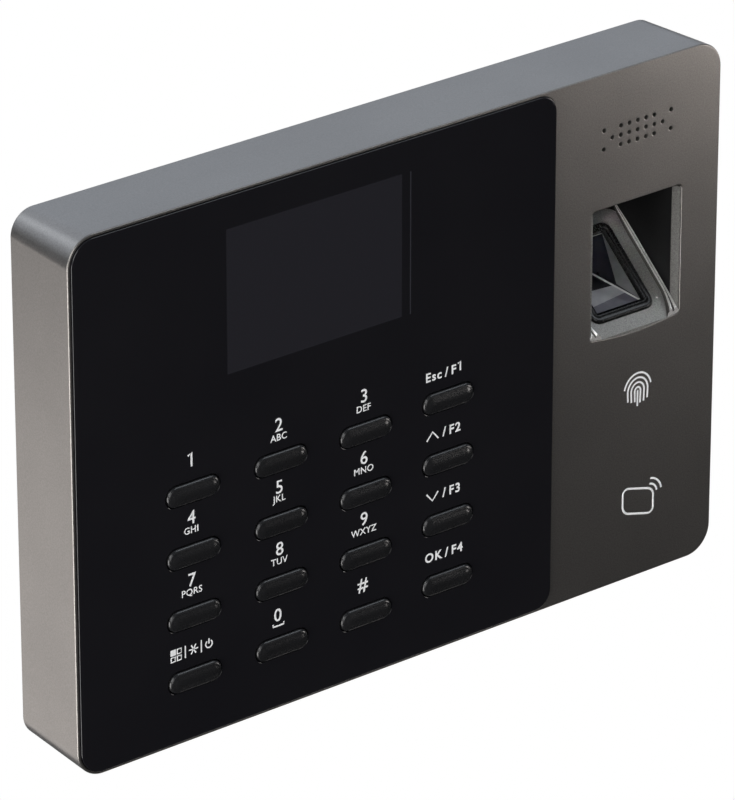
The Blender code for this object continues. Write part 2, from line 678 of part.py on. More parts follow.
def reader():
    half = WINDOW_WIDTH / 2 - GAP
    inner = half - RAIL_WIDTH
    section = [(-half, -RAIL_HEIGHT), (-inner, -RAIL_HEIGHT), (-inner, 0.0), (inner, 0.0),
               (inner, -RAIL_HEIGHT), (half, -RAIL_HEIGHT), (half, BEZEL_THICKNESS),
               (-half, BEZEL_THICKNESS)]
    mesh = extruded_mesh("sensor_bezel", [section], BEZEL_LENGTH, LEVEL)
    bezel = add("sensor_bezel", mesh, (0.0, 0.0, 0.0), READER_SILVER)
    on_slope(bezel, BEZEL_LENGTH / 2 - 4.0)
    hole = facing("bezel_hole", [rounded(GASKET_WIDTH + 2 * GAP, GASKET_LENGTH + 2 * GAP, 2.8, steps=4)],
                  -3.0, 5.0, None, CUTTERS)
    on_slope(hole, READER_CENTRE)
    cut(bezel, hole)
    bounds = facing("bezel_bounds", [window_outline(-GAP)], FRONT + 0.1, WELL_BACK, None, CUTTERS)
    combine(bezel, bounds, "INTERSECT")

    ring = [rounded(GASKET_WIDTH, GASKET_LENGTH, 2.5, steps=4),
            rounded(GLASS_WIDTH + 2 * GAP, GLASS_LENGTH + 2 * GAP, 0.9, steps=3)]
    on_slope(facing("sensor_gasket", ring, -0.3, 2.0, SOFT_BLACK), READER_CENTRE, 0.85)

    prism_mesh = extruded_mesh("sensor_prism", [prism_section(0.0)], GLASS_WIDTH, SIDEWAYS)
    on_slope(add("sensor_prism", prism_mesh, (0.0, 0.0, 0.0), CLEAR_GLASS), READER_CENTRE)

    holder = block("sensor_housing", (HOLDER_WIDTH, HOLDER_DEPTH, HOLDER_LENGTH), (0.0, 0.0, 0.0),
                   BLACK_PLASTIC)
    on_slope(holder, READER_CENTRE + HOLDER_SHIFT, HOLDER_MIDDLE)
    pocket_mesh = extruded_mesh("prism_pocket", [prism_section(0.35)], GLASS_WIDTH + 0.7, SIDEWAYS)
    pocket = add("prism_pocket", pocket_mesh, (0.0, 0.0, 0.0), None, CUTTERS)
    on_slope(pocket, READER_CENTRE)
    cut(holder, pocket)
    bore = rod("lens_bore", LENS_RADIUS + GAP, -4.0, 4.0, (0.0, 0.0), None, CUTTERS, 20)
    on_slope(bore, READER_CENTRE - LENS_OFFSET, PRISM_DEPTH)
    cut(holder, bore)
    lens = rod("sensor_lens", LENS_RADIUS, -2.0, 2.0, (0.0, 0.0), BLACK_GLOSS)
    on_slope(lens, READER_CENTRE - LENS_OFFSET, PRISM_DEPTH + 0.5)
    shade(lens)
    on_slope(block("sensor_board", (HOLDER_WIDTH - 2.0, 1.2, HOLDER_LENGTH - 2.0), (0.0, 0.0, 0.0),
                   BOARD_GREEN), READER_CENTRE + HOLDER_SHIFT, SENSOR_BOARD_DEPTH)
    sensor_cable()


def prism_section(grow):
    """(Y, Z) section of the prism: a thin rim, then two faces that meet below."""
    half = GLASS_LENGTH / 2 + grow
    tip = PRISM_TIP + grow
    top = 0.5 - grow * 8
    rim = PRISM_RIM + grow
    low = PRISM_DEPTH + grow
    return [(top, half), (rim, half), (low, tip), (low, -tip), (rim, -half), (top, -half)]


def sensor_cable():
    """A flat cable from beside the reader's board to the main board's edge."""
    level = BOARD_TOP + 0.3
    route = [(57.4, -14.5), (51.0, -14.5), (43.0, level), (33.0, level)]
    mesh = extruded_mesh("sensor_cable", [strip(route, 0.3)], 9.0, LEVEL)
    add("sensor_cable", mesh, (0.0, 0.0, 0.0), FLEX_AMBER)


def finger_well():
    """Black walls around the space for the finger: two sides, a ceiling and a back."""
    reach = BEZEL_THICKNESS + 1.0

    def under_bezel(y):
        up_slope = (y - SLOPE_FOOT[0] - reach * math.cos(SLOPE)) / math.sin(SLOPE)
        return SLOPE_FOOT[1] + up_slope * math.cos(SLOPE) - reach * math.sin(SLOPE)

    half = WINDOW_WIDTH / 2 + WELL_WALL
    outline = [(WELL_FRONT, WELL_TOP), (WELL_BACK, WELL_TOP), (WELL_BACK, under_bezel(WELL_BACK)),
               (WELL_FRONT, under_bezel(WELL_FRONT))]
    well = sideways("finger_well", outline, WINDOW_X - half, WINDOW_X + half, BLACK_PLASTIC)
    inside_back = WELL_BACK - WELL_WALL
    inside_top = WELL_TOP - WELL_WALL
    inside = box_outline(WELL_FRONT - PAST, inside_back, -12.0, inside_top, (0.2,) * 4, 1)
    cut(well, sideways("finger_space", inside, WINDOW_X - WINDOW_WIDTH / 2,
                       WINDOW_X + WINDOW_WIDTH / 2, None, CUTTERS))


# Rear cover, wall plate and screws

def bulge_outline(inset, radius):
    half = BULGE_HALF_HEIGHT - inset
    return box_outline(BULGE_LEFT + inset, BULGE_RIGHT - inset, -half, half, (radius,) * 4)


def rear_cover():
    side = 2 * (WALL + DRAFT + 0.35)
    cover = facing("rear_cover", [rounded(WIDTH - side, HEIGHT - side, 4.0, steps=4)],
                   COVER_FRONT, RIM_BACK, BLACK_PLASTIC)
    bulge = facing("cover_bulge", [bulge_outline(0.0, 8.0)], COVER_FRONT + PAST, COVER_BACK,
                   None, CUTTERS)
    join(cover, bulge)
    cut(cover, facing("cover_hollow", [bulge_outline(COVER_WALL, 6.0)],
                      COVER_FRONT - PAST, COVER_BACK - COVER_WALL, None, CUTTERS))
    cut(cover, facing("cover_bay", [rounded(BAY_WIDTH, BAY_HEIGHT, 2.0, 0.0, BAY_Z, 3)],
                      COVER_BACK - COVER_WALL - PAST, COVER_BACK + PAST, None, CUTTERS))
    for number, (x, z) in enumerate(HOOKS, 1):
        top = z + PLATE_THICKNESS + GAP
        height = HOOK_RISE + 2 * GAP
        cut(cover, block("hook_slot_%d" % number, (HOOK_WIDTH + 1.6, 6.0, height),
                         (x, COVER_BACK - 1.0, top - height / 2), None, CUTTERS))
    for number, place in enumerate(BOSSES, 1):
        cut(cover, rod("cover_hole_%d" % number, BOSS_HOLE, COVER_FRONT - PAST, RIM_BACK + PAST,
                       place, None, CUTTERS, 12))
    shade(cover)


def wall_plate():
    loops = [rounded(PLATE_WIDTH, PLATE_HEIGHT, 5.0, steps=4),
             rounded(BAY_WIDTH + 2.0, BAY_HEIGHT + 2.0, 3.0, 0.0, BAY_Z, 3)]
    for x in (-SLOT_X, SLOT_X):
        for z in (-SLOT_Z, SLOT_Z):
            loops.append(rounded(SLOT_LENGTH, SLOT_WIDTH, SLOT_WIDTH / 2, x, z, 4))
    plate = facing("wall_plate", loops, -PLATE_THICKNESS, 0.0, STEEL)
    lip_front = COVER_BACK - COVER_WALL - GAP - PLATE_THICKNESS
    for number, (x, z) in enumerate(HOOKS, 1):
        neck = block("hook_neck_%d" % number, (HOOK_WIDTH, -0.5 - lip_front, PLATE_THICKNESS),
                     (x, (lip_front - 0.5) / 2, z + PLATE_THICKNESS / 2), None, CUTTERS)
        lip = block("hook_lip_%d" % number, (HOOK_WIDTH, PLATE_THICKNESS, HOOK_RISE),
                    (x, lip_front + PLATE_THICKNESS / 2, z + HOOK_RISE / 2), None, CUTTERS)
        join(plate, neck)
        join(plate, lip)
    shade(plate)


def screw_mesh(name, head_radius, head_height, shank_radius, shank_length):
    """A pan-head screw whose origin is under its head; the shank runs to -Y."""
    head = rod(name, head_radius, 0.0, head_height, (0.0, 0.0), STEEL, PARTS, 20)
    head.data.transform(Matrix.Translation((0.0, head_height / 2 * MM, 0.0)))
    head.location = (0.0, 0.0, 0.0)
    shank = rod(name + "_shank", shank_radius, -shank_length, head_height / 2, (0.0, 0.0),
                None, CUTTERS, 14)
    join(head, shank)
    arm = head_radius * 1.3
    for size in ((arm, head_height, SCREW_SLOT), (SCREW_SLOT, head_height, arm)):
        cut(head, block(name + "_slot", size, (0.0, head_height, 0.0), None, CUTTERS))
    mesh = settle(head, STEEL)
    bpy.data.objects.remove(head)
    return mesh


def screws():
    rear = screw_mesh("rear_screw", *REAR_SCREW)
    for number, (x, z) in enumerate(BOSSES, 1):
        shade(add("rear_screw_%d" % number, rear, (x, RIM_BACK + GAP, z), None))
    small = screw_mesh("board_screw", *BOARD_SCREW)
    for number, (x, z) in enumerate(STANDOFFS, 1):
        shade(add("board_screw_%d" % number, small, (x, MAIN_BOARD_BACK + GAP, z), None))


front_housing()
front_panel()
keys()
display()
keypad()
main_board()
connectors()
speaker_and_antenna()
reader()
finger_well()
rear_cover()
wall_plate()
screws()
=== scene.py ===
import math

import bmesh
import bpy
from mathutils import Matrix, Vector


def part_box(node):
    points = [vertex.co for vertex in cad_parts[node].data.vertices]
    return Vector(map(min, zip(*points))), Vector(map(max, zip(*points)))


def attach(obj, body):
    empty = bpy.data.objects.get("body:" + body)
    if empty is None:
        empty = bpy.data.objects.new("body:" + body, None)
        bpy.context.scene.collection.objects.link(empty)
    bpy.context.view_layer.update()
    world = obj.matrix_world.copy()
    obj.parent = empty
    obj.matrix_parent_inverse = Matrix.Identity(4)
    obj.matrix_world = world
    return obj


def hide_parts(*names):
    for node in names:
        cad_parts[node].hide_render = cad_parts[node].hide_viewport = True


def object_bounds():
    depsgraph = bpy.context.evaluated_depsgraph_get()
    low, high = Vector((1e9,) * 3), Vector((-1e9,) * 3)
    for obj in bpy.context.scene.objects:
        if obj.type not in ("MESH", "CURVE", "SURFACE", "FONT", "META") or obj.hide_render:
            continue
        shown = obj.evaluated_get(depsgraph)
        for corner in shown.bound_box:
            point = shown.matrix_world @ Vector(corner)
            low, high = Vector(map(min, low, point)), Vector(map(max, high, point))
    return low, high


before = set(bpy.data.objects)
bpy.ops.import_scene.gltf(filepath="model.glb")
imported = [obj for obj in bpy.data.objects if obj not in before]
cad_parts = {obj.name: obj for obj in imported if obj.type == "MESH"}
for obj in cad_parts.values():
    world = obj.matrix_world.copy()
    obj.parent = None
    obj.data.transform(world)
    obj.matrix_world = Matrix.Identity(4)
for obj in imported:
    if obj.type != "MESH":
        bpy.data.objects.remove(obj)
CAD_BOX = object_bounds()

# Modelling is in millimetres: +Z up, +X the viewer's right, the front faces -Y.
MM = 0.001
GAP = 0.3                     # clearance between neighbours that touch
TERMINAL = "terminal"         # the body that every fixed piece of the terminal rides on

# Roundings, gaps and walls of the mouldings
HOUSING_EDGE = 0.40
HOUSING_DRAFT = 1.0
HOUSING_CORNER = 7.0
HOUSING_WALL = 2.2
PANEL_GAP = 0.14
PANEL_EDGE = 0.18
PANEL_CORNER_OUTSIDE = 6.1
PANEL_CORNER_INSIDE = 4.5
WINDOW_EDGE = 0.25
WINDOW_SAG = 0.9
WINDOW_WALL = 3.0             # the housing's thickness round the finger window
GRILLE_WALL = 2.0             # and behind the grille


def span(node):
    """Lowest and highest corner of a CAD node, in millimetres."""
    low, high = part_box(node)
    return low / MM, high / MM


def middle(node):
    low, high = span(node)
    return (low + high) / 2


def named(start):
    """The CAD nodes whose names start so."""
    return [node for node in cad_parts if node.startswith(start)]


# Outlines: lists of (x, z)

def arc(centre_x, centre_z, radius, start, end, steps):
    """Points of an arc from angle start to angle end, in degrees, both ends in."""
    points = []
    for step in range(steps + 1):
        angle = math.radians(start + (end - start) * step / steps)
        points.append((centre_x + radius * math.cos(angle), centre_z + radius * math.sin(angle)))
    return points


def box_outline(left, right, low, high, radii, steps=8):
    """A rectangle with round corners; radii go right-top, left-top, left-low, right-low."""
    corners = (
        (right - radii[0], high - radii[0], radii[0], 0),
        (left + radii[1], high - radii[1], radii[1], 90),
        (left + radii[2], low + radii[2], radii[2], 180),
        (right - radii[3], low + radii[3], radii[3], 270),
    )
    points = []
    for centre_x, centre_z, radius, start in corners:
        points += arc(centre_x, centre_z, max(radius, 0.01), start, start + 90, steps)
    return [point for index, point in enumerate(points) if math.dist(point, points[index - 1]) > 1e-4]


def growing(width, height, radius, x=0.0, z=0.0, steps=8):
    """A rounded rectangle about (x, z), as a function of how far it is grown on every side."""
    def outline(grow):
        across, up = width / 2 + grow, height / 2 + grow
        return box_outline(x - across, x + across, z - up, z + up, (radius + grow,) * 4, steps)
    return outline


def growing_circle(radius, x, z, steps):
    return lambda grow: arc(x, z, radius + grow, 0, 360, steps)[:-1]


def fillet(grow, y, across, along, steps=4, support=0.2):
    """(grow, y) stations of a quarter round, from a face at y to the wall that it meets.

    across is how far the outline differs on the face, along how deep the rounding goes, and
    support is the width of a strip in the face that keeps the shading flat there.
    """
    stations = []
    if support:
        stations.append((grow + across + math.copysign(support, across), y))
    for step in range(steps + 1):
        angle = math.radians(90 * step / steps)
        stations.append((grow + across * (1 - math.sin(angle)), y + along * (1 - math.cos(angle))))
    return stations


# Meshes

class Skin:
    """A closed surface made of loops of points, joined by bands and closed by caps."""

    def __init__(self):
        self.shape = bmesh.new()

    def loop(self, outline, y):
        return [self.shape.verts.new((x * MM, y * MM, z * MM)) for x, z in outline]

    def band(self, first, second):
        for index, vertex in enumerate(first):
            made = self.shape.faces.new((first[index - 1], vertex, second[index], second[index - 1]))
            made.smooth = True

    def run(self, outline, stations):
        """Loops of outline(grow) at each (grow, y) station; gives the first and the last one."""
        loops = [self.loop(outline(grow), y) for grow, y in stations]
        for before, after in zip(loops, loops[1:]):
            self.band(before, after)
        return loops[0], loops[-1]

    def holes(self, outlines, stations):
        """A run for each outline; gives all the first loops and all the last ones."""
        return zip(*[self.run(outline, stations) for outline in outlines])

    def cap(self, outer, *holes):
        if not holes:
            self.shape.faces.new(outer)
            return
        edges = []
        for loop in (outer, *holes):
            for index, vertex in enumerate(loop):
                pair = (loop[index - 1], vertex)
                edges.append(self.shape.edges.get(pair) or self.shape.edges.new(pair))
        bmesh.ops.triangle_fill(self.shape, edges=edges, use_beauty=True, use_dissolve=False,
                                normal=(0.0, 1.0, 0.0))

    def plug(self, outline, stations):
        """A run closed by a cap at both ends."""
        first, last = self.run(outline, stations)
        self.cap(first)
        self.cap(last)

    def done(self, name, place=Matrix.Identity(4)):
        bmesh.ops.recalc_face_normals(self.shape, faces=self.shape.faces)
        made = object_of(self.shape, name)
        made.data.transform(place)
        return made


def new_object(name, data):
    made = bpy.data.objects.new(name, data)
    bpy.context.scene.collection.objects.link(made)
    return made


def object_of(shape, name, *finishes):
    """A new object with the faces of a bmesh, which is used up."""
    mesh = bpy.data.meshes.new(name)
    for finish in finishes:
        mesh.materials.append(finish)
    shape.to_mesh(mesh)
    shape.free()
    return new_object(name, mesh)


def evaluated_mesh(guide):
    """The mesh that an object's curve or modifiers make."""
    graph = bpy.context.evaluated_depsgraph_get()
    return bpy.data.meshes.new_from_object(guide.evaluated_get(graph))


def smooth(piece, angle=42.0):
    """Smooth shading of the bands, flat caps, and edges past the angle sharp."""
    piece.data.set_sharp_from_angle(angle=math.radians(angle))
    normals = piece.modifiers.new("normals", "WEIGHTED_NORMAL")
    normals.keep_sharp = True
    normals.weight = 100
    return piece


def finish_piece(piece, finish, body=TERMINAL, replaces=()):
    """Give a piece its material, its body and the CAD nodes that it stands for."""
    piece.data.materials.clear()
    piece.data.materials.append(finish)
    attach(piece, body)
    if replaces:
        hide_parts(*replaces)


def boolean(piece, other, operation):
    """Apply an exact Boolean of other on piece, and remove other."""
    step = piece.modifiers.new("boolean", "BOOLEAN")
    step.operation = operation
    step.solver = "EXACT"
    step.object = other
    mesh = evaluated_mesh(piece)
    mesh.name = piece.name
    piece.modifiers.clear()
    piece.data = mesh
    bpy.data.objects.remove(other)
    return piece


def merged(name, pieces):
    """One object with the meshes of several."""
    shape = bmesh.new()
    for piece in pieces:
        piece.data.transform(piece.matrix_world)
        shape.from_mesh(piece.data)
        bpy.data.objects.remove(piece)
    return object_of(shape, name)


def block(name, low, high):
    """A plain box between two corners, used as a cutter or inside a merged piece."""
    skin = Skin()
    outline = [(high[0], high[2]), (low[0], high[2]), (low[0], low[2]), (high[0], low[2])]
    skin.plug(lambda grow: outline, [(0, low[1]), (0, high[1])])
    return skin.done(name)


# Materials

LIT_LEFT = 24.4               # how far the display's lit area reaches from the middle of its glass
LIT_RIGHT = 24.75
LIT_HALF_HEIGHT = 17.4
LIT_SOFT = 0.25


def fill(tree, node, **values):
    """Set inputs, each to a constant or from another node's output; an underscore stands for a space."""
    for name, value in values.items():
        socket = node.inputs[name.replace("_", " ")]
        if isinstance(value, bpy.types.NodeSocket):
            tree.links.new(value, socket)
        else:
            socket.default_value = value


def add_node(tree, kind, **values):
    made = tree.nodes.new("ShaderNode" + kind)
    fill(tree, made, **values)
    return made


def product(tree, *factors):
    made = add_node(tree, "Math")
    made.operation = "MULTIPLY"
    for factor, socket in zip(factors, made.inputs):
        tree.links.new(factor, socket)
    return made.outputs["Value"]


class Nodes:
    """A material under construction: positions come from the object's own coordinates."""

    def __init__(self, name):
        self.material = bpy.data.materials.new(name)
        self.material.use_nodes = True
        self.tree = self.material.node_tree
        self.shader = self.tree.nodes["Principled BSDF"]
        self.place = self.add("TexCoord").outputs["Object"]

    def add(self, kind, **values):
        return add_node(self.tree, kind, **values)

    def set(self, **values):
        """Give the shader's own sockets a constant or another node's output."""
        fill(self.tree, self.shader, **values)

    def noise(self, size, detail=2.0, roughness=0.5, stretch=(1, 1, 1), seed=0.0):
        """Noise whose features are about size millimetres across."""
        place = self.add("Mapping", Vector=self.place, Scale=stretch, Location=(seed, seed * 0.7, seed * 1.3))
        made = self.add("TexNoise", Vector=place.outputs["Vector"], Scale=1.0 / (size * MM), Detail=detail,
                        Roughness=roughness)
        return made.outputs["Fac"]

    def cells(self, size, output="Distance", randomness=1.0):
        """Voronoi cells about size millimetres across."""
        made = self.add("TexVoronoi", Vector=self.place, Scale=1.0 / (size * MM), Randomness=randomness)
        return made.outputs[output]

    def spread(self, value, low, high, from_low=0.3, from_high=0.7):
        """Map a 0 to 1 pattern onto the range low to high."""
        made = self.add("MapRange", Value=value, From_Min=from_low, From_Max=from_high, To_Min=low,
                        To_Max=high)
        return made.outputs["Result"]

    def between(self, factor, first, second, blend="MIX"):
        """A colour between two, by factor; each may be a colour or another colour's output."""
        made = self.add("Mix")
        made.data_type = "RGBA"
        made.blend_type = blend
        fill(self.tree, made, Factor=factor)
        sockets = [socket for socket in made.inputs if socket.type == "RGBA"]
        for value, socket in zip((first, second), sockets):
            if isinstance(value, tuple):
                socket.default_value = (*value, 1.0)
            else:
                self.tree.links.new(value, socket)
        return next(socket for socket in made.outputs if socket.type == "RGBA")

    def tint(self, pattern, colour, dark, light):
        """Let the base colour drift between two multiples of one colour."""
        ends = [tuple(min(1.0, channel * share) for channel in colour) for share in (dark, light)]
        self.set(Base_Color=self.between(self.spread(pattern, 0, 1), *ends))

    def bump(self, height, depth, strength=1.0):
        """Relief of depth millimetres from a 0 to 1 height."""
        made = self.add("Bump", Height=height, Strength=strength, Distance=depth * MM)
        self.set(Normal=made.outputs["Normal"])

    def within(self, coordinate, low, high, soft=0.1):
        """1 between low and high (millimetres), fading over soft at both ends."""
        rise = self.spread(coordinate, 0, 1, (low - soft) * MM, low * MM)
        fall = self.spread(coordinate, 1, 0, high * MM, (high + soft) * MM)
        return product(self.tree, rise, fall)


def metallic_paint():
    """Warm dark-grey paint with fine aluminium flake."""
    nodes = Nodes("metallic_paint")
    grain = nodes.noise(0.34, detail=2.5, roughness=0.65)
    drift = nodes.noise(26.0, detail=2.0, seed=3.0)
    flake = nodes.spread(grain, 0, 1, 0.36, 0.64)
    speckle = nodes.between(flake, (0.168, 0.158, 0.149), (0.228, 0.217, 0.205))
    shade = nodes.between(nodes.spread(drift, 0, 1, 0.35, 0.65), (0.92, 0.92, 0.92), (1.0, 1.0, 1.0))
    nodes.set(Base_Color=nodes.between(1.0, speckle, shade, "MULTIPLY"),
              Roughness=nodes.spread(grain, 0.30, 0.40), Metallic=0.88)
    nodes.bump(grain, 0.009)
    return nodes.material


def panel_gloss():
    """Smoked acrylic, printed black behind; the display glows faintly grey through it, with a thin painted
    highlight line near its right edge.
    """
    nodes = Nodes("panel_gloss")
    across, _, up = nodes.add("SeparateXYZ", Vector=nodes.place).outputs
    edge = span("display_glass")[1].x
    centre = middle("display_glass")
    lit = nodes.within(across, centre.x - LIT_LEFT, centre.x + LIT_RIGHT, LIT_SOFT)
    rows = nodes.within(up, centre.z - LIT_HALF_HEIGHT, centre.z + LIT_HALF_HEIGHT, LIT_SOFT)
    # painted highlight: a thin lighter line 1.55 to 1.75 mm inside the display glass's right edge
    highlight_line = nodes.within(across, edge - 1.75, edge - 1.55, 0.12)
    wisps = nodes.noise(34.0, detail=3.0, roughness=0.55, seed=5.0)
    black = nodes.between(nodes.spread(wisps, 0, 1), (0.0078, 0.0075, 0.0092), (0.0094, 0.0090, 0.0106))
    screen = nodes.between(product(nodes.tree, lit, rows), black, (0.0176, 0.0171, 0.0210))
    # the display area with the painted highlight line laid over it
    screen_and_highlight = nodes.between(product(nodes.tree, highlight_line, rows), screen, (0.030, 0.030, 0.036))
    smudge = nodes.noise(9.0, detail=4.0, roughness=0.6)
    nodes.set(Base_Color=screen_and_highlight, Roughness=nodes.spread(smudge, 0.045, 0.085), IOR=1.49)
    nodes.bump(nodes.noise(60.0, detail=1.0), 0.02, 0.25)
    return nodes.material


def plastic(name, colour, rough, grain_size, depth, variation=0.12, specular=0.5):
    """Moulded plastic with a spark-eroded grain."""
    nodes = Nodes(name)
    grain = nodes.noise(grain_size, detail=3.0, roughness=0.6)
    drift = nodes.noise(grain_size * 40, detail=2.0, seed=2.0)
    nodes.tint(drift, colour, 1 - variation, 1 + variation)
    nodes.set(Roughness=nodes.spread(grain, rough - 0.05, rough + 0.05), Specular_IOR_Level=specular)
    nodes.bump(grain, depth)
    return nodes.material


def metal(name, colour, rough, grain_size, depth, stretch=(1, 1, 1), variation=0.08, metallic=1.0):
    """Sheet or plated metal; stretch draws its grain out along an axis."""
    nodes = Nodes(name)
    grain = nodes.noise(grain_size, detail=3.0, roughness=0.6, stretch=stretch)
    nodes.tint(grain, colour, 1 - variation, 1 + variation)
    nodes.set(Roughness=nodes.spread(grain, rough - 0.05, rough + 0.06), Metallic=metallic)
    nodes.bump(grain, depth)
    return nodes.material


def zinc_plate():
    """Zinc-plated pressed steel: soft crystals under a fine rolled grain."""
    nodes = Nodes("zinc_plate")
    crystals = nodes.add("RGBToBW", Color=nodes.cells(6.0, "Color")).outputs["Val"]
    rolled = nodes.noise(0.5, detail=2.0, stretch=(0.12, 1, 1))
    tone = nodes.between(nodes.spread(rolled, 0, 1), (0.46, 0.47, 0.48), (0.56, 0.56, 0.56))
    spangle = nodes.between(nodes.spread(crystals, 0, 0.35, 0, 1), tone, (0.66, 0.67, 0.68))
    nodes.set(Base_Color=spangle, Roughness=nodes.spread(crystals, 0.30, 0.42, 0, 1), Metallic=1.0)
    nodes.bump(rolled, 0.008)
    return nodes.material


def circuit_board():
    """Green solder mask over faint copper runs."""
    nodes = Nodes("circuit_board")
    runs = nodes.cells(3.2, "Distance", 0.4)
    weave = nodes.noise(0.6, detail=1.0)
    mask = nodes.between(nodes.spread(weave, 0, 1), (0.012, 0.085, 0.035), (0.018, 0.110, 0.046))
    nodes.set(Base_Color=nodes.between(nodes.spread(runs, 0, 0.6, 0.42, 0.5), mask, (0.045, 0.190, 0.075)),
              Roughness=nodes.spread(weave, 0.30, 0.42))
    nodes.bump(runs, 0.03, 0.4)
    return nodes.material


def rubber(name, colour, rough=0.62):
    nodes = Nodes(name)
    grain = nodes.noise(0.35, detail=2.0)
    nodes.tint(grain, colour, 0.85, 1.2)
    nodes.set(Roughness=nodes.spread(grain, rough - 0.06, rough + 0.06), Specular_IOR_Level=0.32)
    nodes.bump(grain, 0.01)
    return nodes.material


def reader_glass(name, dark, light):
    """Optical glass whose base colour, from dark to light, is painted reflection, with the haze that fingers
    leave.
    """
    nodes = Nodes("reader_glass" + name)
    haze = nodes.noise(3.5, detail=3.0)
    nodes.set(Base_Color=nodes.between(nodes.spread(haze, 0, 1), dark, light),
              Roughness=nodes.spread(haze, 0.04, 0.10), IOR=1.25, Specular_IOR_Level=0.3)
    return nodes.material


def print_white():
    """Screen-printed ink: slightly uneven cover."""
    nodes = Nodes("print_white")
    grain = nodes.noise(0.18, detail=2.0)
    nodes.set(Base_Color=nodes.between(nodes.spread(grain, 0, 1), (0.80, 0.80, 0.80), (0.90, 0.90, 0.90)),
              Roughness=nodes.spread(grain, 0.42, 0.55))
    return nodes.material


PAINT = metallic_paint()
PANEL = panel_gloss()
KEYCAP = plastic("key_satin", (0.0094, 0.0094, 0.0102), 0.28, 0.30, 0.0004)
BLACK = plastic("black_plastic", (0.020, 0.020, 0.021), 0.50, 0.42, 0.03)
WELL = plastic("well_plastic", (0.0060, 0.0060, 0.0062), 0.46, 0.30, 0.015, specular=0.30)
SILVER = metal("reader_silver", (0.192, 0.188, 0.178), 0.42, 0.26, 0.036, variation=0.42, metallic=0.46)
RAIL = metal("rail_silver", (0.600, 0.590, 0.570), 0.30, 0.26, 0.0015, variation=0.10, metallic=0.62)
# dark finish that paints shade into the rails' groove and onto their inner wall
RAIL_SHADE = metal("rail_seam", (0.060, 0.057, 0.052), 0.45, 0.26, 0.002, metallic=0.40)
GASKET = plastic("gasket_rubber", (0.0062, 0.0062, 0.0062), 0.26, 0.30, 0.0008, specular=0.34)
GLASS = reader_glass("", (0.003, 0.003, 0.004), (0.006, 0.006, 0.008))
# Painted reflections in the reader's glass: grey, dim, pale and violet; the edge colour is a painted
# highlight.
GREY_REFLECTION = reader_glass("_grey", (0.066, 0.065, 0.067), (0.105, 0.103, 0.107))
DIM_REFLECTION = reader_glass("_dim", (0.010, 0.010, 0.012), (0.022, 0.022, 0.025))
PALE_REFLECTION = reader_glass("_pale", (0.138, 0.141, 0.150), (0.210, 0.212, 0.222))
VIOLET_REFLECTION = reader_glass("_violet", (0.034, 0.032, 0.043), (0.050, 0.047, 0.062))
EDGE_HIGHLIGHT = reader_glass("_edge", (0.270, 0.264, 0.260), (0.400, 0.392, 0.386))
INK = print_white()
ZINC = zinc_plate()
SCREW = metal("screw_nickel", (0.52, 0.52, 0.53), 0.28, 0.6, 0.004)
SHELL = metal("tinned_shell", (0.60, 0.60, 0.62), 0.30, 0.5, 0.003, stretch=(0.2, 1, 1), variation=0.03)
GOLD = metal("gold_contact", (0.83, 0.60, 0.25), 0.22, 0.5, 0.002)
BOARD = circuit_board()
SILICONE = rubber("silicone_grey", (0.20, 0.20, 0.21))
FOAM = rubber("foam_black", (0.035, 0.035, 0.037), 0.9)
GREEN = plastic("terminal_green", (0.035, 0.220, 0.070), 0.42, 0.35, 0.012)
AMBER = plastic("polyimide_amber", (0.38, 0.15, 0.03), 0.30, 0.8, 0.004)
DISPLAY = plastic("display_dark", (0.028, 0.028, 0.034), 0.14, 2.0, 0.001)


# Housing

PANEL_BOX = span("front_panel")
HOUSING_BOX = span("front_housing")
FRONT = HOUSING_BOX[0].y
RIM_BACK = HOUSING_BOX[1].y
RECESS_FLOOR = PANEL_BOX[1].y + GAP
INNER_FRONT = FRONT + 4.0
KEYS = sorted(node for node in named("key_") if node != "key_board")
WELL_BOX = span("finger_well")
WINDOW_X = middle("finger_well").x
WINDOW_WIDTH = WELL_BOX[1].x - WELL_BOX[0].x - 2.4
WINDOW_TOP = WELL_BOX[1].z - 1.7
WINDOW_BOTTOM = -0.6
GRILLE_X = middle("speaker").x
GRILLE_Z = middle("speaker").z
GRILLE_PITCH_X = 2.53
GRILLE_PITCH_Z = 2.35
GRILLE_HOLE = 0.53
KEY_FLANGE = 1.1              # how far a key's flange stands out behind the panel


def panel_outline(grow):
    """The glossy panel: large corners at the housing's end, smaller ones inside it."""
    low, high = PANEL_BOX
    radii = (PANEL_CORNER_INSIDE + grow, PANEL_CORNER_OUTSIDE + grow,
             PANEL_CORNER_OUTSIDE + grow, PANEL_CORNER_INSIDE + grow)
    return box_outline(low.x - grow, high.x + grow, low.z - grow, high.z + grow, radii, 10)


def window_outline(grow):
    """The finger window: square shoulders and a lower edge that bows down."""
    half = WINDOW_WIDTH / 2 + grow
    top = WINDOW_TOP + grow
    low = WINDOW_BOTTOM - grow
    radius = 1.2 + grow
    points = arc(half - radius, top - radius, radius, 0, 90, 6)
    points += arc(radius - half, top - radius, radius, 90, 180, 6)
    points += arc(radius - half, low + radius, radius, 180, 246, 6)
    reach = half - 1.5 * radius
    bow = 16
    for step in range(bow + 1):
        share = 2 * step / bow - 1
        points.append((share * reach, low - WINDOW_SAG * (1 - share * share)))
    points += arc(half - radius, low + radius, radius, 294, 360, 6)
    return [(x + WINDOW_X, z) for x, z in points]


def grille_places():
    """A bow-tie of small holes: three full rows, thinned out towards both ends."""
    for column in range(-4, 5):
        for row in (-1, 0, 1):
            far = abs(column)
            if far <= 2 or (far == 3 and row == 0) or (far == 4 and row != 0):
                yield GRILLE_X + column * GRILLE_PITCH_X, GRILLE_Z + row * GRILLE_PITCH_Z


def key_outline(node, corner=2.45, steps=8):
    """A key's capsule, without the flange that holds it behind the panel, as a function of growth."""
    low, high = span(node)
    centre = middle(node)
    return growing(high.x - low.x - 2 * KEY_FLANGE, high.z - low.z - 2 * KEY_FLANGE, corner,
                   centre.x, centre.z, steps)


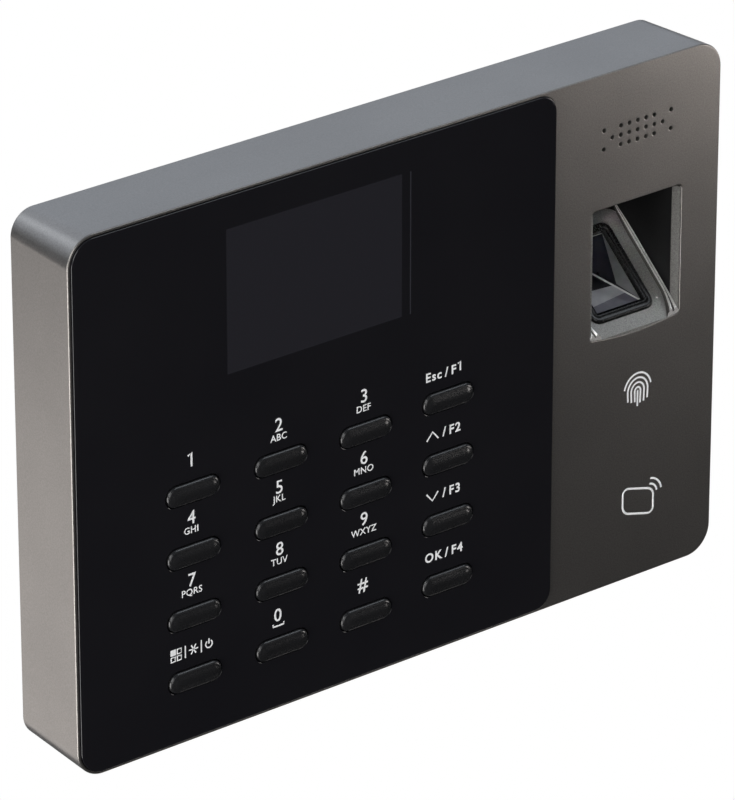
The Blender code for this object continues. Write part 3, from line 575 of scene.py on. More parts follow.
def housing():
    """The painted shell: skirt, front wall, panel recess, finger window, grille and inner bosses."""
    low, high = HOUSING_BOX
    width = high.x - low.x
    height = high.z - low.z
    skin = Skin()
    outer = growing(width, height, HOUSING_CORNER, steps=14)
    hollow = growing(width - 2 * HOUSING_WALL, height - 2 * HOUSING_WALL, HOUSING_CORNER - HOUSING_WALL,
                     steps=14)
    face, rim_outside = skin.run(outer, fillet(0, FRONT, -HOUSING_EDGE, HOUSING_EDGE, 5, 0)
                                 + fillet(-HOUSING_DRAFT, RIM_BACK, -0.25, -0.25, 3)[::-1])
    rim_inside, wall_front = skin.run(hollow, [(-HOUSING_DRAFT, RIM_BACK), (0, INNER_FRONT)])
    skin.band(rim_outside, rim_inside)

    recess_top, recess_low = skin.run(panel_outline, fillet(PANEL_GAP, FRONT, 0.08, 0.08, 2, 0)
                                      + [(PANEL_GAP, RECESS_FLOOR)])
    window_top, window_low = skin.run(window_outline, fillet(0, FRONT, WINDOW_EDGE, WINDOW_EDGE, 5)
                                      + [(0, FRONT + WINDOW_WALL)])
    grille = [growing_circle(GRILLE_HOLE, x, z, 20) for x, z in grille_places()]
    grille_top, grille_low = skin.holes(grille, fillet(0, FRONT, 0.07, 0.07, 2) + [(0, FRONT + GRILLE_WALL)])
    skin.cap(face, recess_top, window_top, *grille_top)

    display_low, display_high = span("display_frame")
    openings = [growing(display_high.x - display_low.x + 0.7, display_high.z - display_low.z + 0.7, 1.0,
                        middle("display_frame").x, middle("display_frame").z, 3)]
    openings += [key_outline(node, 2.4, 4) for node in KEYS]
    openings_top, openings_low = skin.holes(openings, [(0.5, RECESS_FLOOR), (0.5, INNER_FRONT)])
    skin.cap(recess_low, *openings_top)

    thinned = growing(34.0, 42.0, 1.0, WINDOW_X, 15.6, 4)
    pocket = growing(32.0, 20.0, 2.0, GRILLE_X, GRILLE_Z, 4)
    thinned_floor, thinned_top = skin.run(thinned, [(0, FRONT + WINDOW_WALL), (0, INNER_FRONT)])
    skin.cap(thinned_floor, window_low)
    pocket_floor, pocket_top = skin.run(pocket, [(0, FRONT + GRILLE_WALL), (0, INNER_FRONT)])
    skin.cap(pocket_floor, *grille_low)

    posts = []
    for start, rests_on, radius, bore, depth in (("rear_screw_", "rear_cover", 2.7, 1.75, 9.0),
                                                 ("board_screw_", "main_board", 2.9, 1.5, 5.0)):
        top = span(rests_on)[0].y - GAP
        for centre in map(middle, named(start)):
            outside = growing_circle(radius, centre.x, centre.z, 20)
            inside = growing_circle(bore, centre.x, centre.z, 20)
            foot, shoulder = skin.run(outside, [(0.5, INNER_FRONT), (0, INNER_FRONT + 0.5), (0, top)])
            mouth, bottom = skin.run(inside, [(0, top), (0, top - depth)])
            skin.band(shoulder, mouth)
            skin.cap(bottom)
            posts.append(foot)
    skin.cap(wall_front, thinned_top, pocket_top, *openings_low, *posts)
    shell = skin.done("housing_shell")

    port_low, port_high = span("usb_port")
    mouth = block("usb_mouth", (port_low.x - 0.5, port_low.y - 0.4, low.z - 2.0),
                  (port_high.x + 0.5, port_high.y + 0.4, low.z + 4.0))
    boolean(shell, mouth, "DIFFERENCE")
    finish_piece(smooth(shell), PAINT, replaces=["front_housing"])


def panel():
    """The acrylic sheet with its key openings."""
    low, high = PANEL_BOX
    skin = Skin()
    face, back = skin.run(panel_outline, fillet(0, low.y, -PANEL_EDGE, PANEL_EDGE, 5)
                          + fillet(0, high.y, -0.1, -0.1, 2)[::-1])
    holes_face, holes_back = skin.holes(map(key_outline, KEYS),
                                        fillet(GAP, low.y, 0.14, 0.14, 3) + [(GAP, high.y)])
    skin.cap(face, *holes_face)
    skin.cap(back, *holes_back)
    sheet = smooth(skin.done("panel_sheet"))
    finish_piece(sheet, PANEL, replaces=["front_panel"])


def keys():
    """Each cap: a slightly crowned capsule with a full rounding, and its retaining flange."""
    for node in KEYS:
        low, high = span(node)
        skin = Skin()
        capsule = key_outline(node, steps=10)
        shoulder = INNER_FRONT + GAP
        crown = [(-2.38, low.y), (-2.05, low.y + 0.025), (-1.65, low.y + 0.095), (-1.25, low.y + 0.205)]
        skin.plug(capsule, crown + fillet(0, low.y + 0.33, -0.92, 0.70, 7, 0)
                  + [(0, shoulder - 0.3), (0.3, shoulder), (KEY_FLANGE, shoulder), (KEY_FLANGE, high.y)])
        finish_piece(smooth(skin.done("cap_" + node[4:]), 50), KEYCAP, body=node,
                     replaces=[node])


# Printed legends

INK_DEPTH = 0.03
CAPITAL = 1.39                # the font's size over the height of its capitals
KEY_LETTERS = dict(zip("23456789", ("ABC", "DEF", "GHI", "JKL", "MNO", "PQRS", "TUV", "WXYZ")))
TO_FRONT = Matrix(((1, 0, 0, 0), (0, 0, -1, 0), (0, 1, 0, 0), (0, 0, 0, 1)))


def letters(text, x, z, height, face, weight, spacing, gap):
    """A line of text in the built-in font, centred on (x, z) and printed at y = face.

    height is a capital's, in millimetres; gap is the width of a space.
    """
    curve = bpy.data.curves.new("letters", "FONT")
    curve.body = text
    curve.size = height * CAPITAL * MM
    curve.space_character = spacing
    curve.space_word = gap
    curve.offset = weight * MM
    curve.extrude = INK_DEPTH / 2 * MM
    curve.resolution_u = 4
    guide = new_object("letters", curve)
    mesh = evaluated_mesh(guide)
    bpy.data.objects.remove(guide)
    mesh.transform(TO_FRONT)
    xs = [vertex.co.x for vertex in mesh.vertices]
    zs = [vertex.co.z for vertex in mesh.vertices]
    place = (x * MM - (min(xs) + max(xs)) / 2, (face - INK_DEPTH / 3) * MM, z * MM - (min(zs) + max(zs)) / 2)
    mesh.transform(Matrix.Translation(place))
    return new_object("letters", mesh)


def sides_of(points, width, closed):
    """The two edges of a line of this width that follows the points."""
    count = len(points)
    left, right = [], []
    for index, (x, z) in enumerate(points):
        before = points[index - 1] if closed or index else points[index]
        after = points[(index + 1) % count] if closed or index < count - 1 else points[index]
        run = Vector((after[0] - before[0], after[1] - before[1])).normalized()
        left.append((x - run.y * width / 2, z + run.x * width / 2))
        right.append((x + run.y * width / 2, z - run.x * width / 2))
    return left, right


def strokes(lines, face):
    """Drawn lines (points, width, closed) as one flat solid each, printed at y = face."""
    skin = Skin()
    top, low = face - INK_DEPTH, face + INK_DEPTH / 3
    for points, width, closed in lines:
        left, right = sides_of(points, width, closed)
        if closed:
            loops = [skin.loop(side, y) for side, y in ((left, top), (left, low), (right, low), (right, top))]
            for before, after in zip(loops, loops[1:] + loops[:1]):
                skin.band(before, after)
        else:
            skin.plug(lambda grow: left + right[::-1], [(0, top), (0, low)])
    return skin.done("strokes")


def square(x, z, size):
    half = size / 2
    return [(x - half, z - half), (x + half, z - half), (x + half, z + half), (x - half, z + half)]


def menu_icon(x, z):
    """Four tiles with the first one filled, a divider, an asterisk, a divider and a power mark."""
    thin = 0.34
    left, right, top, low = x - 5.31, x - 3.59, z + 0.80, z - 0.92
    lines = [(square(*place, 1.14), 0.38, True) for place in ((right, top), (right, low), (left, low))]
    lines.append(([(left - 0.75, top), (left + 0.75, top)], 1.5, False))
    for divider in (x - 1.9, x + 2.6):
        lines.append(([(divider, z - 1.55), (divider, z + 1.55)], 0.32, False))
    for turn in (0, 60, 120):
        first, last = arc(x + 0.4, z, 1.3, turn, turn + 180, 1)
        lines.append(([last, first], thin, False))
    lines.append((arc(x + 4.75, z - 0.1, 0.92, 125, 415, 14), thin, False))
    lines.append(([(x + 4.75, z), (x + 4.75, z + 1.3)], thin, False))
    return lines


def legends():
    """All that is printed on the glossy panel: digits, letters, function names and small signs."""
    face = PANEL_BOX[0].y
    made = []
    lines = []

    def write(text, x, z, height, weight, spacing=1.0, gap=1.0):
        made.append(letters(text, x, z, height, face, weight, spacing, gap))

    def draw(width, *points):
        lines.append((points, width, False))

    for node in KEYS:
        name = node[4:]
        centre = middle(node)
        x, z = centre.x - 0.5, centre.z
        if name in KEY_LETTERS:
            write(name, x, z + 9.25, 3.35, 0.03)
            write(KEY_LETTERS[name], x - 0.1, z + 6.15, 1.68, 0.03, 1.08)
        elif name == "1":
            draw(0.5, (x - 0.75, z + 9.05), (x + 0.22, z + 9.72), (x + 0.22, z + 6.3))
        elif name == "0":
            write("0", x - 0.65, z + 8.1, 3.25, 0.035)
            draw(0.40, (x - 2.0, z + 6.0), (x - 2.0, z + 5.35), (x + 1.0, z + 5.35), (x + 1.0, z + 6.0))
        elif name == "hash":
            write("#", x - 0.4, z + 7.8, 3.6, 0.04)
        elif name == "menu":
            lines += menu_icon(x - 0.3, z + 7.2)
        elif name == "f1":
            write("Esc / F", x - 1.6, z + 6.9, 2.25, 0.08, 1.2, 0.35)
            draw(0.42, (x + 3.35, z + 7.95), (x + 4.05, z + 8.45), (x + 4.05, z + 6.1))
        elif name == "f4":
            write("OK / F4", x - 0.5, z + 7.4, 2.3, 0.08, 1.2, 0.35)
        else:
            tip = 1.0 if name == "f2" else -1.0
            write("/ F" + name[1], x + 1.55, z + 7.5, 2.3, 0.08, 1.2, 0.35)
            draw(0.42, (x - 5.7, z + 7.35 - tip), (x - 4.0, z + 7.35 + tip), (x - 2.3, z + 7.35 - tip))
    made.append(strokes(lines, face))
    finish_piece(merged("panel_legends", made), INK)


CARD_TILT = 0.266             # the card sign falls to the right by this share


def housing_marks():
    """Printed on the paint: a plain fingerprint sign and a card sign with two waves."""
    x, z = WINDOW_X + 1.2, -17.9
    lines = []
    for radius, start, end, drop in ((0.9, 0, 180, 2.6), (2.0, -8, 188, 2.4), (3.1, -4, 172, 1.9),
                                     (4.2, 14, 166, 0.0)):
        points = [(px, z + 0.6 + pz * 1.12) for px, pz in arc(x, 0.0, radius, start, end, 18)]
        if drop:
            points = [(points[0][0] - 0.1, z - drop)] + points + [(points[-1][0] + 0.1, z - drop * 0.8)]
        lines.append((points, 0.46, False))
    lines.append(([(x, z + 0.8), (x, z - 3.3)], 0.46, False))

    card = box_outline(65.85, 75.35, -49.6, -43.0, (1.8,) * 4, 6)
    lines.append(([(px, pz - CARD_TILT * (px - 70.6)) for px, pz in card], 0.55, True))
    for radius in (2.6, 4.0):
        lines.append((arc(73.8, -45.4, radius, 8, 82, 10), 0.5, False))
    finish_piece(strokes(lines, FRONT), INK)


# Fingerprint reader, in a frame whose x is across, y goes under the surface and z runs up the slope

SLOPE = math.radians(49.7)
GLASS_WIDTH = 13.7
READER_SHIFT = -0.65          # the glass and its gasket sit a little left of the window's middle
GLASS_LENGTH = 18.9
GASKET_WIDTH = 18.6
GASKET_LENGTH = 23.5
GASKET_MIDDLE = 0.85          # the gasket's own middle lies this deep under the slanted face


def slope_matrix():
    """From the reader's frame, with its origin at the glass centre, to the world; metres."""
    depth = Vector((0.0, math.cos(SLOPE), -math.sin(SLOPE)))
    centre = middle("sensor_gasket") - depth * GASKET_MIDDLE
    return Matrix.Translation(centre * MM) @ Matrix.Rotation(-SLOPE, 4, "X")


BEZEL_TOP = 15.0              # how far the plate reaches above and below the glass centre
BEZEL_FOOT = -20.0
BEZEL_HALF = WINDOW_WIDTH / 2 - 0.15
BEZEL_DEPTH = 0.35            # its face lies this deep under the gasket's datum
LINER_WALL = 0.35
RAIL_GROOVE = 0.62


def bezel_rail():
    """One raised rail: two rounded ridges and a groove between them, the groove and the inner wall painted
    dark as shade; it swells towards its foot.
    """
    shape = bmesh.new()
    loops = []
    steps = 48
    across = 20
    for step in range(steps + 1):
        up = BEZEL_FOOT + (BEZEL_TOP - BEZEL_FOOT) * step / steps
        flare = max(0.0, (-8.0 - up) / 7.0) ** 2
        fade = max(0.0, 1.0 - (BEZEL_TOP - up) / 9.0) ** 2
        width = 1.3 + 1.9 * flare - 0.6 * fade
        rise = 0.90 + 0.10 * flare - 0.75 * fade
        side = [(BEZEL_HALF, BEZEL_DEPTH)]
        for place in range(across + 1):
            share = place / across
            sink = RAIL_GROOVE * (1 - fade) * (0.5 + 0.5 * math.cos(4 * math.pi * share)) ** 1.3
            side.append((BEZEL_HALF - share * width, sink - rise))
        side.append((BEZEL_HALF - width, BEZEL_DEPTH))
        loops.append([shape.verts.new((x * MM, y * MM, up * MM)) for x, y in side])
    for before, after in zip(loops, loops[1:]):
        for index in range(len(before)):
            made = shape.faces.new((before[index - 1], before[index], after[index], after[index - 1]))
            made.smooth = True
            share = (index - 1.5) / across
            # the groove and the inner wall get the painted shade finish
            made.material_index = int(0.42 < share < 0.58 or share > 0.90)
    shape.faces.new(loops[0])
    shape.faces.new(loops[-1])
    bmesh.ops.recalc_face_normals(shape, faces=shape.faces)
    return object_of(shape, "rail", RAIL, RAIL_SHADE)


def bezel():
    """The slanted silver plate round the glass and the rails along both its sides, cut to the window."""
    place = slope_matrix()
    skin = Skin()

    def outline(grow):
        return box_outline(-BEZEL_HALF - grow, BEZEL_HALF + grow, BEZEL_FOOT, BEZEL_TOP + grow,
                           (4.0 + grow, 4.0 + grow, 0.01, 0.01), 8)

    hole = growing(GASKET_WIDTH + 0.3, GASKET_LENGTH + 0.3, 2.6, READER_SHIFT, steps=8)
    face, back = skin.run(outline, fillet(0, BEZEL_DEPTH, -0.3, 0.3, 4) + [(0, 2.0)])
    hole_face, hole_back = skin.run(hole, fillet(0, BEZEL_DEPTH, 0.3, 0.3, 4) + [(0, 2.0)])
    skin.cap(face, hole_face)
    skin.cap(back, hole_back)
    parts = [skin.done("bezel_plate"), bezel_rail(), bezel_rail()]
    parts[2].data.transform(Matrix.Scale(-1, 4, (1, 0, 0)))
    parts[2].data.flip_normals()
    for part in parts:
        part.data.transform(place)
        bounds = Skin()
        bounds.plug(window_outline, [(-0.08, FRONT + 0.08), (-0.08, WELL_BOX[1].y)])
        boolean(part, bounds.done("bezel_bounds"), "INTERSECT")
    plate = parts[0]
    for side in (-1, 1):
        near, far = sorted((side * BEZEL_HALF, side * (BEZEL_HALF - LINER_WALL)))
        liner = block("liner", (WINDOW_X + near, FRONT + 0.3, WINDOW_BOTTOM + 0.6),
                      (WINDOW_X + far, FRONT + WINDOW_WALL, WINDOW_TOP - 0.9))
        boolean(plate, liner, "UNION")
    finish_piece(smooth(plate, 30), SILVER, replaces=["sensor_bezel"])
    rails = merged("bezel_rails", parts[1:])
    # material indices of the painted shade in the groove and on the inner wall
    indices = [polygon.material_index for polygon in rails.data.polygons]
    finish_piece(smooth(rails, 30), RAIL)
    rails.data.materials.append(RAIL_SHADE)
    rails.data.polygons.foreach_set("material_index", indices)


def gasket():
    """A soft ring: a round outer lip, a groove, and a thin inner lip against the glass."""
    skin = Skin()
    outline = growing(GASKET_WIDTH, GASKET_LENGTH, 2.5, READER_SHIFT, steps=10)
    profile = [(0.0, 2.0), (0.0, 0.0)]
    profile += [(-0.45 * (1 - math.cos(math.radians(a))), -0.32 * math.sin(math.radians(a)))
                for a in (30, 60, 90)]
    profile += [(-1.05, -0.32), (-1.25, -0.22), (-1.3, 0.12), (-1.5, 0.16), (-1.56, -0.02), (-1.78, -0.06),
                (-1.95, 0.06), (-2.05, 0.55), (-2.05, 2.0)]
    first, last = skin.run(outline, profile)
    skin.band(last, first)
    ring = smooth(skin.done("gasket_ring", slope_matrix()), 60)
    finish_piece(ring, GASKET, replaces=["sensor_gasket"])


def prism():
    """The glass block: a polished rim with painted highlights, and facets whose colours are painted
    reflections, with a bright ridge painted as the reflection of the window's top edge.
    """
    rim, depth = 0.25, 0.60
    right, left = READER_SHIFT + GLASS_WIDTH / 2, READER_SHIFT - GLASS_WIDTH / 2
    end = GLASS_LENGTH / 2
    shape = bmesh.new()

    def point(x, up, y=depth):
        return shape.verts.new((x * MM, y * MM, up * MM))

    finishes = (GLASS, GREY_REFLECTION, PALE_REFLECTION, EDGE_HIGHLIGHT, DIM_REFLECTION, VIOLET_REFLECTION)
    indices = []

    def facet(finish, *corners):
        shape.faces.new(corners)
        indices.append(finishes.index(finish))

    outline = [(right, end), (left, end), (left, -end), (right, -end)]
    outer = [point(x, up, depth + rim) for x, up in outline]
    foot = [point(x, up, 2.6) for x, up in outline]
    right, left, top, low = right - rim, left + rim, end - rim, rim - end
    ridge_slope = (6.4 - low) / (left - right)
    ridge = [point(x, 6.4 + (x - left) * ridge_slope) for x in (left, 1.0, 3.2)]
    under = [point(x, 5.6 + (x - left) * ridge_slope) for x in (left, 0.75, 2.95)]
    ridge_foot = point(right - 0.62, low)
    top_right, top_left = point(right, top), point(left, top)
    low_left, low_right = point(left, low), point(right, low)
    band_top, band_low = point(left, -3.4), point(left, -7.4)
    well_corner = point(2.70, -3.50, depth + 0.75)
    # Facets paint the reflections in the glass top: black for the dark well, a grey and a pale strip, a dim
    # and a violet facet, and a bright ridge.
    facet(GLASS, top_right, top_left, well_corner)
    facet(GLASS, top_left, ridge[0], well_corner)
    facet(GREY_REFLECTION, top_right, well_corner, low_right)
    facet(DIM_REFLECTION, ridge[0], ridge[1], ridge[2], low_right, well_corner)
    facet(EDGE_HIGHLIGHT, ridge[0], under[0], under[1], ridge[1])
    facet(EDGE_HIGHLIGHT, ridge[1], under[1], under[2], ridge[2])
    facet(EDGE_HIGHLIGHT, ridge[2], under[2], ridge_foot, low_right)
    facet(GLASS, under[0], band_top, under[1])
    facet(PALE_REFLECTION, under[1], band_top, band_low, under[2])
    facet(VIOLET_REFLECTION, under[2], band_low, low_left, ridge_foot)
    # The top and right rims get painted highlights; the others stay black.
    facet(EDGE_HIGHLIGHT, outer[0], outer[1], top_left, top_right)
    facet(GLASS, outer[1], outer[2], low_left, band_low, band_top, under[0], ridge[0], top_left)
    facet(GLASS, outer[2], outer[3], low_right, ridge_foot, low_left)
    facet(EDGE_HIGHLIGHT, outer[3], outer[0], top_right, low_right)
    for index in range(4):
        facet(GLASS, outer[index - 1], outer[index], foot[index], foot[index - 1])
    facet(GLASS, *foot)
    bmesh.ops.recalc_face_normals(shape, faces=shape.faces)
    glass = object_of(shape, "prism_glass")
    glass.data.transform(slope_matrix())
    finish_piece(glass, GLASS, replaces=["sensor_prism"])
    for finish in finishes[1:]:
        glass.data.materials.append(finish)
    glass.data.polygons.foreach_set("material_index", indices)


# Rear cover, wall plate, screws and sockets

BULGE = (-80.5, 86.2, -55.0, 55.0)
COVER_WALL = 2.0
BAY_Z = -17.0
BAY_WIDTH = 76.0
BAY_HEIGHT = 24.0
HOOKS = [(x, z) for x in (-52.0, 52.0) for z in (-38.0, 20.0)]
HOOK_WIDTH = 12.0
HOOK_RISE = 6.0
PLATE_THICKNESS = 1.5
CONTACT_PITCH = 1.02
CLAMP_PITCH = 3.5
WALL_SLOTS = [(x, z) for x in (-30.0, 30.0) for z in (-36.0, 36.0)]
SIDE_ON = Matrix.Rotation(math.radians(90), 4, "Z")      # outline (x, z) becomes (y, z), depth becomes -x


def bulge_outline(grow):
    left, right, low, high = BULGE
    return box_outline(left - grow, right + grow, low - grow, high + grow, (8.0 + grow,) * 4, 10)


def rear_cover():
    """The black back: a flange under the housing's rim, and a bulge with the socket bay and hook slots."""
    low, high = span("rear_cover")
    floor = high.y - COVER_WALL
    skin = Skin()
    flange = growing(high.x - low.x, high.z - low.z, 4.0, steps=10)
    front_edge, rim = skin.run(flange, fillet(0, low.y, -0.2, 0.2, 2)
                               + fillet(0, RIM_BACK, -0.3, -0.3, 3)[::-1])
    base, back = skin.run(bulge_outline, [(0.5, RIM_BACK), (0.15, RIM_BACK + 0.12), (0.0, RIM_BACK + 0.5)]
                          + fillet(-0.6, high.y, -2.2, -2.2, 6)[::-1])
    hollow_mouth, hollow_floor = skin.run(bulge_outline, [(-2.4, low.y), (-2.9, floor)])
    bores = [growing_circle(1.75, centre.x, centre.z, 20) for centre in map(middle, named("rear_screw_"))]
    bores_front, bores_back = skin.holes(bores, [(0, low.y), (0, RIM_BACK)])
    skin.cap(front_edge, hollow_mouth, *bores_front)
    skin.cap(rim, base, *bores_back)

    openings = [growing(BAY_WIDTH, BAY_HEIGHT, 2.0, 0.0, BAY_Z, 5)]
    for x, z in HOOKS:
        top = z + PLATE_THICKNESS + GAP
        height = HOOK_RISE + 2 * GAP
        openings.append(growing(HOOK_WIDTH + 1.6, height, 0.6, x, top - height / 2, 4))
    openings_back, openings_front = skin.holes(openings, fillet(0, high.y, 0.4, -0.4, 3) + [(0, floor)])
    skin.cap(back, *openings_back)
    skin.cap(hollow_floor, *openings_front)
    finish_piece(smooth(skin.done("cover_shell"), 40), BLACK, replaces=["rear_cover"])


def hook(x, z, lip_front):
    """A tab bent out of the wall plate: a neck and a lip that stands up, with round bends."""
    lip_back, neck_top = lip_front + PLATE_THICKNESS, z + PLATE_THICKNESS
    outline = [(-0.4, z), (-0.4, neck_top)]
    outline += arc(lip_back + 0.5, neck_top + 0.5, 0.5, 270, 180, 2)
    outline += arc(lip_back - 0.4, z + HOOK_RISE - 0.4, 0.4, 0, 90, 3)
    outline += arc(lip_front + 0.4, z + HOOK_RISE - 0.4, 0.4, 90, 180, 3)
    outline += arc(lip_front + 1.2, z + 1.2, 1.2, 180, 270, 5)
    skin = Skin()
    skin.plug(lambda grow: outline, [(0, -x - HOOK_WIDTH / 2), (0, -x + HOOK_WIDTH / 2)])
    return skin.done("hook", SIDE_ON)


def wall_plate():
    """The pressed steel plate: bay opening, four slots for wall screws and four bent hooks."""
    low, high = span("wall_plate")
    skin = Skin()
    edges = fillet(0, -PLATE_THICKNESS, -0.2, 0.2, 3) + fillet(0, high.y, -0.2, -0.2, 3)[::-1]
    front, back = skin.run(growing(high.x - low.x, high.z - low.z, 5.0, steps=10), edges)
    openings = [growing(BAY_WIDTH + 2, BAY_HEIGHT + 2, 3.0, 0.0, BAY_Z, 6)]
    openings += [growing(8.0, 3.8, 1.9, x, z, 8) for x, z in WALL_SLOTS]
    hole_edges = fillet(0, -PLATE_THICKNESS, 0.15, 0.15, 2) + fillet(0, high.y, 0.15, -0.15, 2)[::-1]
    holes_front, holes_back = skin.holes(openings, hole_edges)
    skin.cap(front, *holes_front)
    skin.cap(back, *holes_back)
    plate = skin.done("bracket_plate")
    hooks = merged("hooks", [hook(x, z, low.y) for x, z in HOOKS])
    boolean(plate, hooks, "UNION")
    finish_piece(smooth(plate, 35), ZINC, body="wall_bracket", replaces=["wall_plate"])


def screw_mesh(head, rise, shank, length):
    """A domed pan head with a cross recess over a threaded shank; the origin is under the head."""
    skin = Skin()
    profile = [(shank * 0.35, -length), (shank * 0.85, -length + 1.0)]
    pitch = 0.55
    for turn in range(int((length - 2.2) / pitch)):
        y = -length + 1.2 + turn * pitch
        profile += [(shank, y), (shank, y + 0.1), (shank * 0.82, y + 0.3), (shank * 0.82, y + 0.42)]
    profile += [(shank, -0.4), (shank, 0.0), (head - 0.1, 0.0), (head, 0.12), (head, rise * 0.45)]
    for angle in map(math.radians, (20, 40, 58, 74)):
        profile.append((head * math.cos(angle) * 0.98 + 0.02, rise * (0.45 + 0.55 * math.sin(angle))))
    skin.plug(growing_circle(0.0, 0.0, 0.0, 28), profile)
    screw = skin.done("screw")
    arm = head * 0.62
    slot = 0.38

    def cross(share):
        points = [(slot * share, slot * share), (slot * share, arm * share), (-slot * share, arm * share)]
        for _ in range(3):
            points += [(-z, x) for x, z in points[-3:]]
        return points

    recess = Skin()
    recess.plug(cross, [(0.55, rise - 1.0), (1.0, rise - 0.1), (1.08, rise + 0.5)])
    boolean(screw, recess.done("recess"), "DIFFERENCE")
    mesh = screw.data
    bpy.data.objects.remove(screw)
    return mesh


def screws():
    """The cover's and the board's screws: one shared mesh for each size, under the CAD screw's head."""
    for start, piece_name, size in (("rear_screw_", "cover_screw_", (2.8, 1.6, 1.4, 10.5)),
                                    ("board_screw_", "standoff_screw_", (2.4, 1.4, 1.15, 6.0))):
        shared = screw_mesh(*size)
        for node in sorted(named(start)):
            centre = middle(node)
            under_head = Vector((centre.x, span(node)[1].y - size[1], centre.z))
            mesh = shared.copy()
            mesh.transform(Matrix.Translation(under_head * MM))
            made = new_object(piece_name + node[len(start):], mesh)
            finish_piece(smooth(made, 38), SCREW, replaces=[node])


def socket_details():
    """Contacts and clamp screws in the sockets of the rear bay and in the USB socket."""
    back = span("network_jack")[1].y
    wires = []
    for number in range(8):
        x = middle("network_jack").x + (number - 3.5) * CONTACT_PITCH
        route = [(back - 2.0, BAY_Z + 4.2), (back - 3.0, BAY_Z + 4.0), (back - 9.0, BAY_Z + 1.6)]
        left, right = sides_of(route, 0.3, False)
        skin = Skin()
        skin.plug(lambda grow: left + right[::-1], [(0, -x - 0.22), (0, -x + 0.22)])
        wires.append(skin.done("wire", SIDE_ON))
    finish_piece(merged("network_contacts", wires), GOLD)

    back = span("terminal_block")[1].y
    clamps = []
    for number in range(8):
        x = middle("terminal_block").x + (number - 3.5) * CLAMP_PITCH
        skin = Skin()
        skin.plug(growing_circle(1.1, x, BAY_Z + 2.4, 16),
                  [(0, back - 1.9), (0, back - 0.9), (-0.2, back - 0.7)])
        clamp = skin.done("clamp")
        slot = block("slot", (x - 1.4, back - 1.2, BAY_Z + 2.2), (x + 1.4, back, BAY_Z + 2.6))
        clamps.append(boolean(clamp, slot, "DIFFERENCE"))
    finish_piece(smooth(merged("terminal_clamps", clamps), 30), SCREW)

    tongue = span("usb_tongue")[0]
    pads = []
    for offset in (-3.5, -1.0, 1.0, 3.5):
        x = middle("usb_tongue").x + offset
        pads.append(block("pad", (x - 0.5, tongue.y - 0.08, tongue.z + 0.8),
                          (x + 0.5, tongue.y + 0.02, tongue.z + 6.0)))
    finish_piece(merged("usb_contacts", pads), GOLD)


def carried_nodes():
    """CAD nodes whose shape is right, under the finish that they get."""
    finishes = (
        (SHELL, "display_frame", "processor_shield", "network_jack", "usb_port"),
        (BOARD, "key_board", "main_board", "card_antenna", "sensor_board"),
        (BLACK, "buzzer", "power_jack", "usb_tongue"),
        (WELL, "speaker", "sensor_housing", "finger_well"),
        (FOAM, "display_gasket", "speaker_gasket"),
        (AMBER, "display_cable", "sensor_cable"),
        (DISPLAY, "display_glass"),
        (SILICONE, "keypad_mat"),
        (SCREW, "backup_battery"),
        (GREEN, "terminal_block"),
        (GLASS, "sensor_lens"),
    )
    for finish, *nodes in finishes:
        for node in nodes:
            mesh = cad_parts[node].data
            mesh.materials.clear()
            mesh.materials.append(finish)


# Stage: a pale floor and backdrop, softboxes and the camera

FLOOR = -0.6                  # metres, well below the hanging terminal
CAMERA_AZIMUTH = -38.478
CAMERA_ELEVATION = 25.352
CAMERA_DISTANCE = 1.46582
CAMERA_LENS = 285.70
AIM_OFFSET = Vector((6.846, 5.763, -9.455)) * MM      # from the object's middle to the point looked at


def direction(azimuth, elevation):
    """Unit vector from the object; azimuth 0 is towards the viewer, 90 to the right."""
    a = math.radians(azimuth)
    e = math.radians(elevation)
    return Vector((math.sin(a) * math.cos(e), -math.cos(a) * math.cos(e), math.sin(e)))


def softbox(name, azimuth, elevation, distance, width, height, strength, colour=(1.0, 1.0, 1.0),
            aim=Vector((0.0, 0.0, 0.0))):
    """An area light aimed at the object, or at a point of it; strength is its radiance."""
    light = bpy.data.lights.new(name, "AREA")
    light.shape = "RECTANGLE"
    light.size = width
    light.size_y = height
    light.energy = strength * math.pi * width * height
    light.color = colour
    made = new_object(name, light)
    towards = direction(azimuth, elevation)
    made.location = aim + towards * distance
    made.rotation_mode = "QUATERNION"
    made.rotation_quaternion = towards.to_track_quat("Z", "Y")
    return made


def white_paper():
    """A surface as bright as the photograph's ground, whatever light falls on it."""
    made = bpy.data.materials.new("white_paper")
    made.use_nodes = True
    tree = made.node_tree
    tree.nodes.clear()
    glow = add_node(tree, "Emission", Color=(1.0, 1.0, 1.0, 1.0), Strength=1.0)
    add_node(tree, "OutputMaterial", Surface=glow.outputs["Emission"])
    return made


def backdrop():
    """A pale floor well below the hanging terminal, and a dome that only the camera sees."""
    shape = bmesh.new()
    bmesh.ops.create_uvsphere(shape, u_segments=48, v_segments=24, radius=5.0)
    for vertex in shape.verts:
        vertex.co.z = max(vertex.co.z, FLOOR)
    floor = object_of(shape, "floor", white_paper())
    floor.visible_diffuse = False
    floor.visible_glossy = False
    floor.visible_transmission = False
    floor.visible_shadow = False


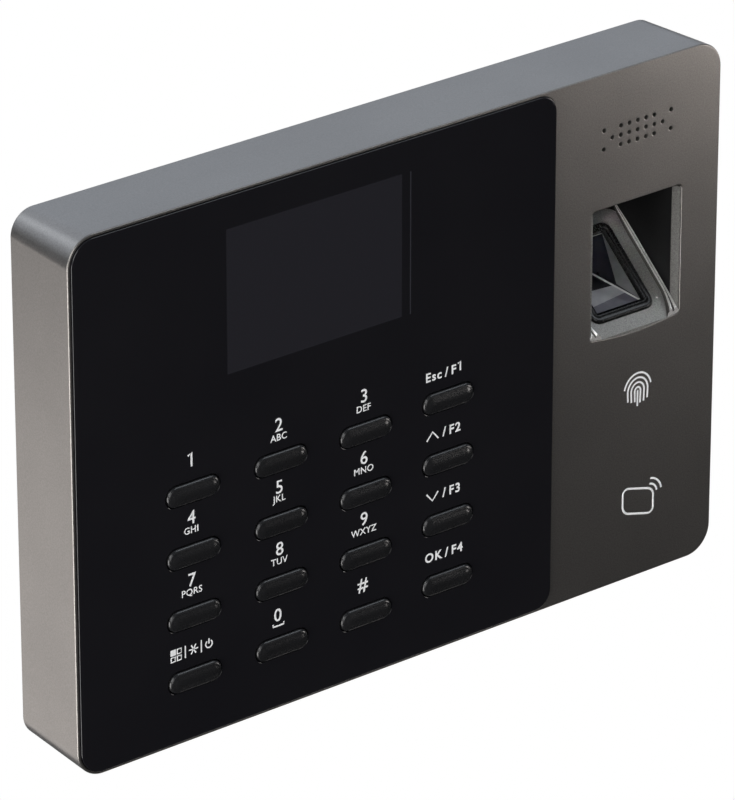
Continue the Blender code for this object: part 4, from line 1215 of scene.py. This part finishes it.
def room():
    """Surroundings for reflections: dark in front and low down, bluish and bright behind and above."""
    world = bpy.data.worlds.new("room")
    bpy.context.scene.world = world
    world.use_nodes = True
    tree = world.node_tree
    place = add_node(tree, "TexCoord")
    axes = add_node(tree, "SeparateXYZ", Vector=place.outputs["Generated"])
    ramps = []
    for axis, start, end, bright in (("Y", -0.35, 0.75, 1.0), ("Z", 0.0, 0.36, 1.26)):
        ramp = add_node(tree, "MapRange", Value=axes.outputs[axis], From_Min=start, From_Max=end, To_Min=0.12,
                        To_Max=bright)
        ramp.interpolation_type = "SMOOTHSTEP"
        ramps.append(ramp.outputs["Result"])
    fill(tree, tree.nodes["Background"], Color=(0.80, 0.88, 1.0, 1.0), Strength=product(tree, *ramps))


def lights():
    """Three soft boxes in front, six round the sides and the back, and a narrow one on the reader."""
    softbox("back_left_low", 218, -32, 0.75, 0.40, 0.36, 1.75, (1.0, 0.95, 0.92))
    softbox("back_left_high", 214, 40, 1.6, 0.9, 0.5, 1.9, (0.84, 0.92, 1.0))
    softbox("front_left", -62, 28, 1.25, 0.8, 0.8, 3.8)
    softbox("front", -28, 6, 1.4, 0.8, 0.8, 2.8)
    softbox("side_left", -80, -22, 1.0, 0.6, 0.7, 8.5, (1.0, 0.985, 0.97))
    softbox("top_right", 50, 52, 1.5, 0.7, 0.5, 3.4, (0.88, 0.94, 1.0))
    softbox("near_right", 52, -2, 0.52, 0.13, 0.13, 9.8, (1.0, 0.95, 0.92))
    softbox("side_right", 112, 3, 1.1, 0.5, 0.6, 2.6, (1.0, 0.98, 0.96))
    softbox("under_right", 112, -52, 1.0, 0.6, 0.5, 1.6, (1.0, 0.95, 0.92))
    upper_bezel = slope_matrix() @ (Vector((3.0, 0.0, 6.0)) * MM)
    snoot = softbox("reader_fill", -14, 12, 0.6, 0.018, 0.018, 2.3, aim=upper_bezel)
    snoot.data.spread = math.radians(2.8)


def camera():
    low, high = CAD_BOX
    data = bpy.data.cameras.new("camera")
    data.lens = CAMERA_LENS
    data.sensor_width = 36.0
    data.clip_start = 0.05
    data.clip_end = 20.0
    made = new_object("camera", data)
    back = direction(CAMERA_AZIMUTH, CAMERA_ELEVATION)
    made.location = (low + high) / 2 + AIM_OFFSET + back * CAMERA_DISTANCE
    made.rotation_mode = "QUATERNION"
    made.rotation_quaternion = (-back).to_track_quat("-Z", "Y")
    bpy.context.scene.camera = made


housing()
panel()
keys()
legends()
housing_marks()
bezel()
gasket()
prism()
rear_cover()
wall_plate()
screws()
socket_details()
carried_nodes()
backdrop()
room()
lights()
camera()
bpy.context.scene.view_settings.view_transform = "Standard"
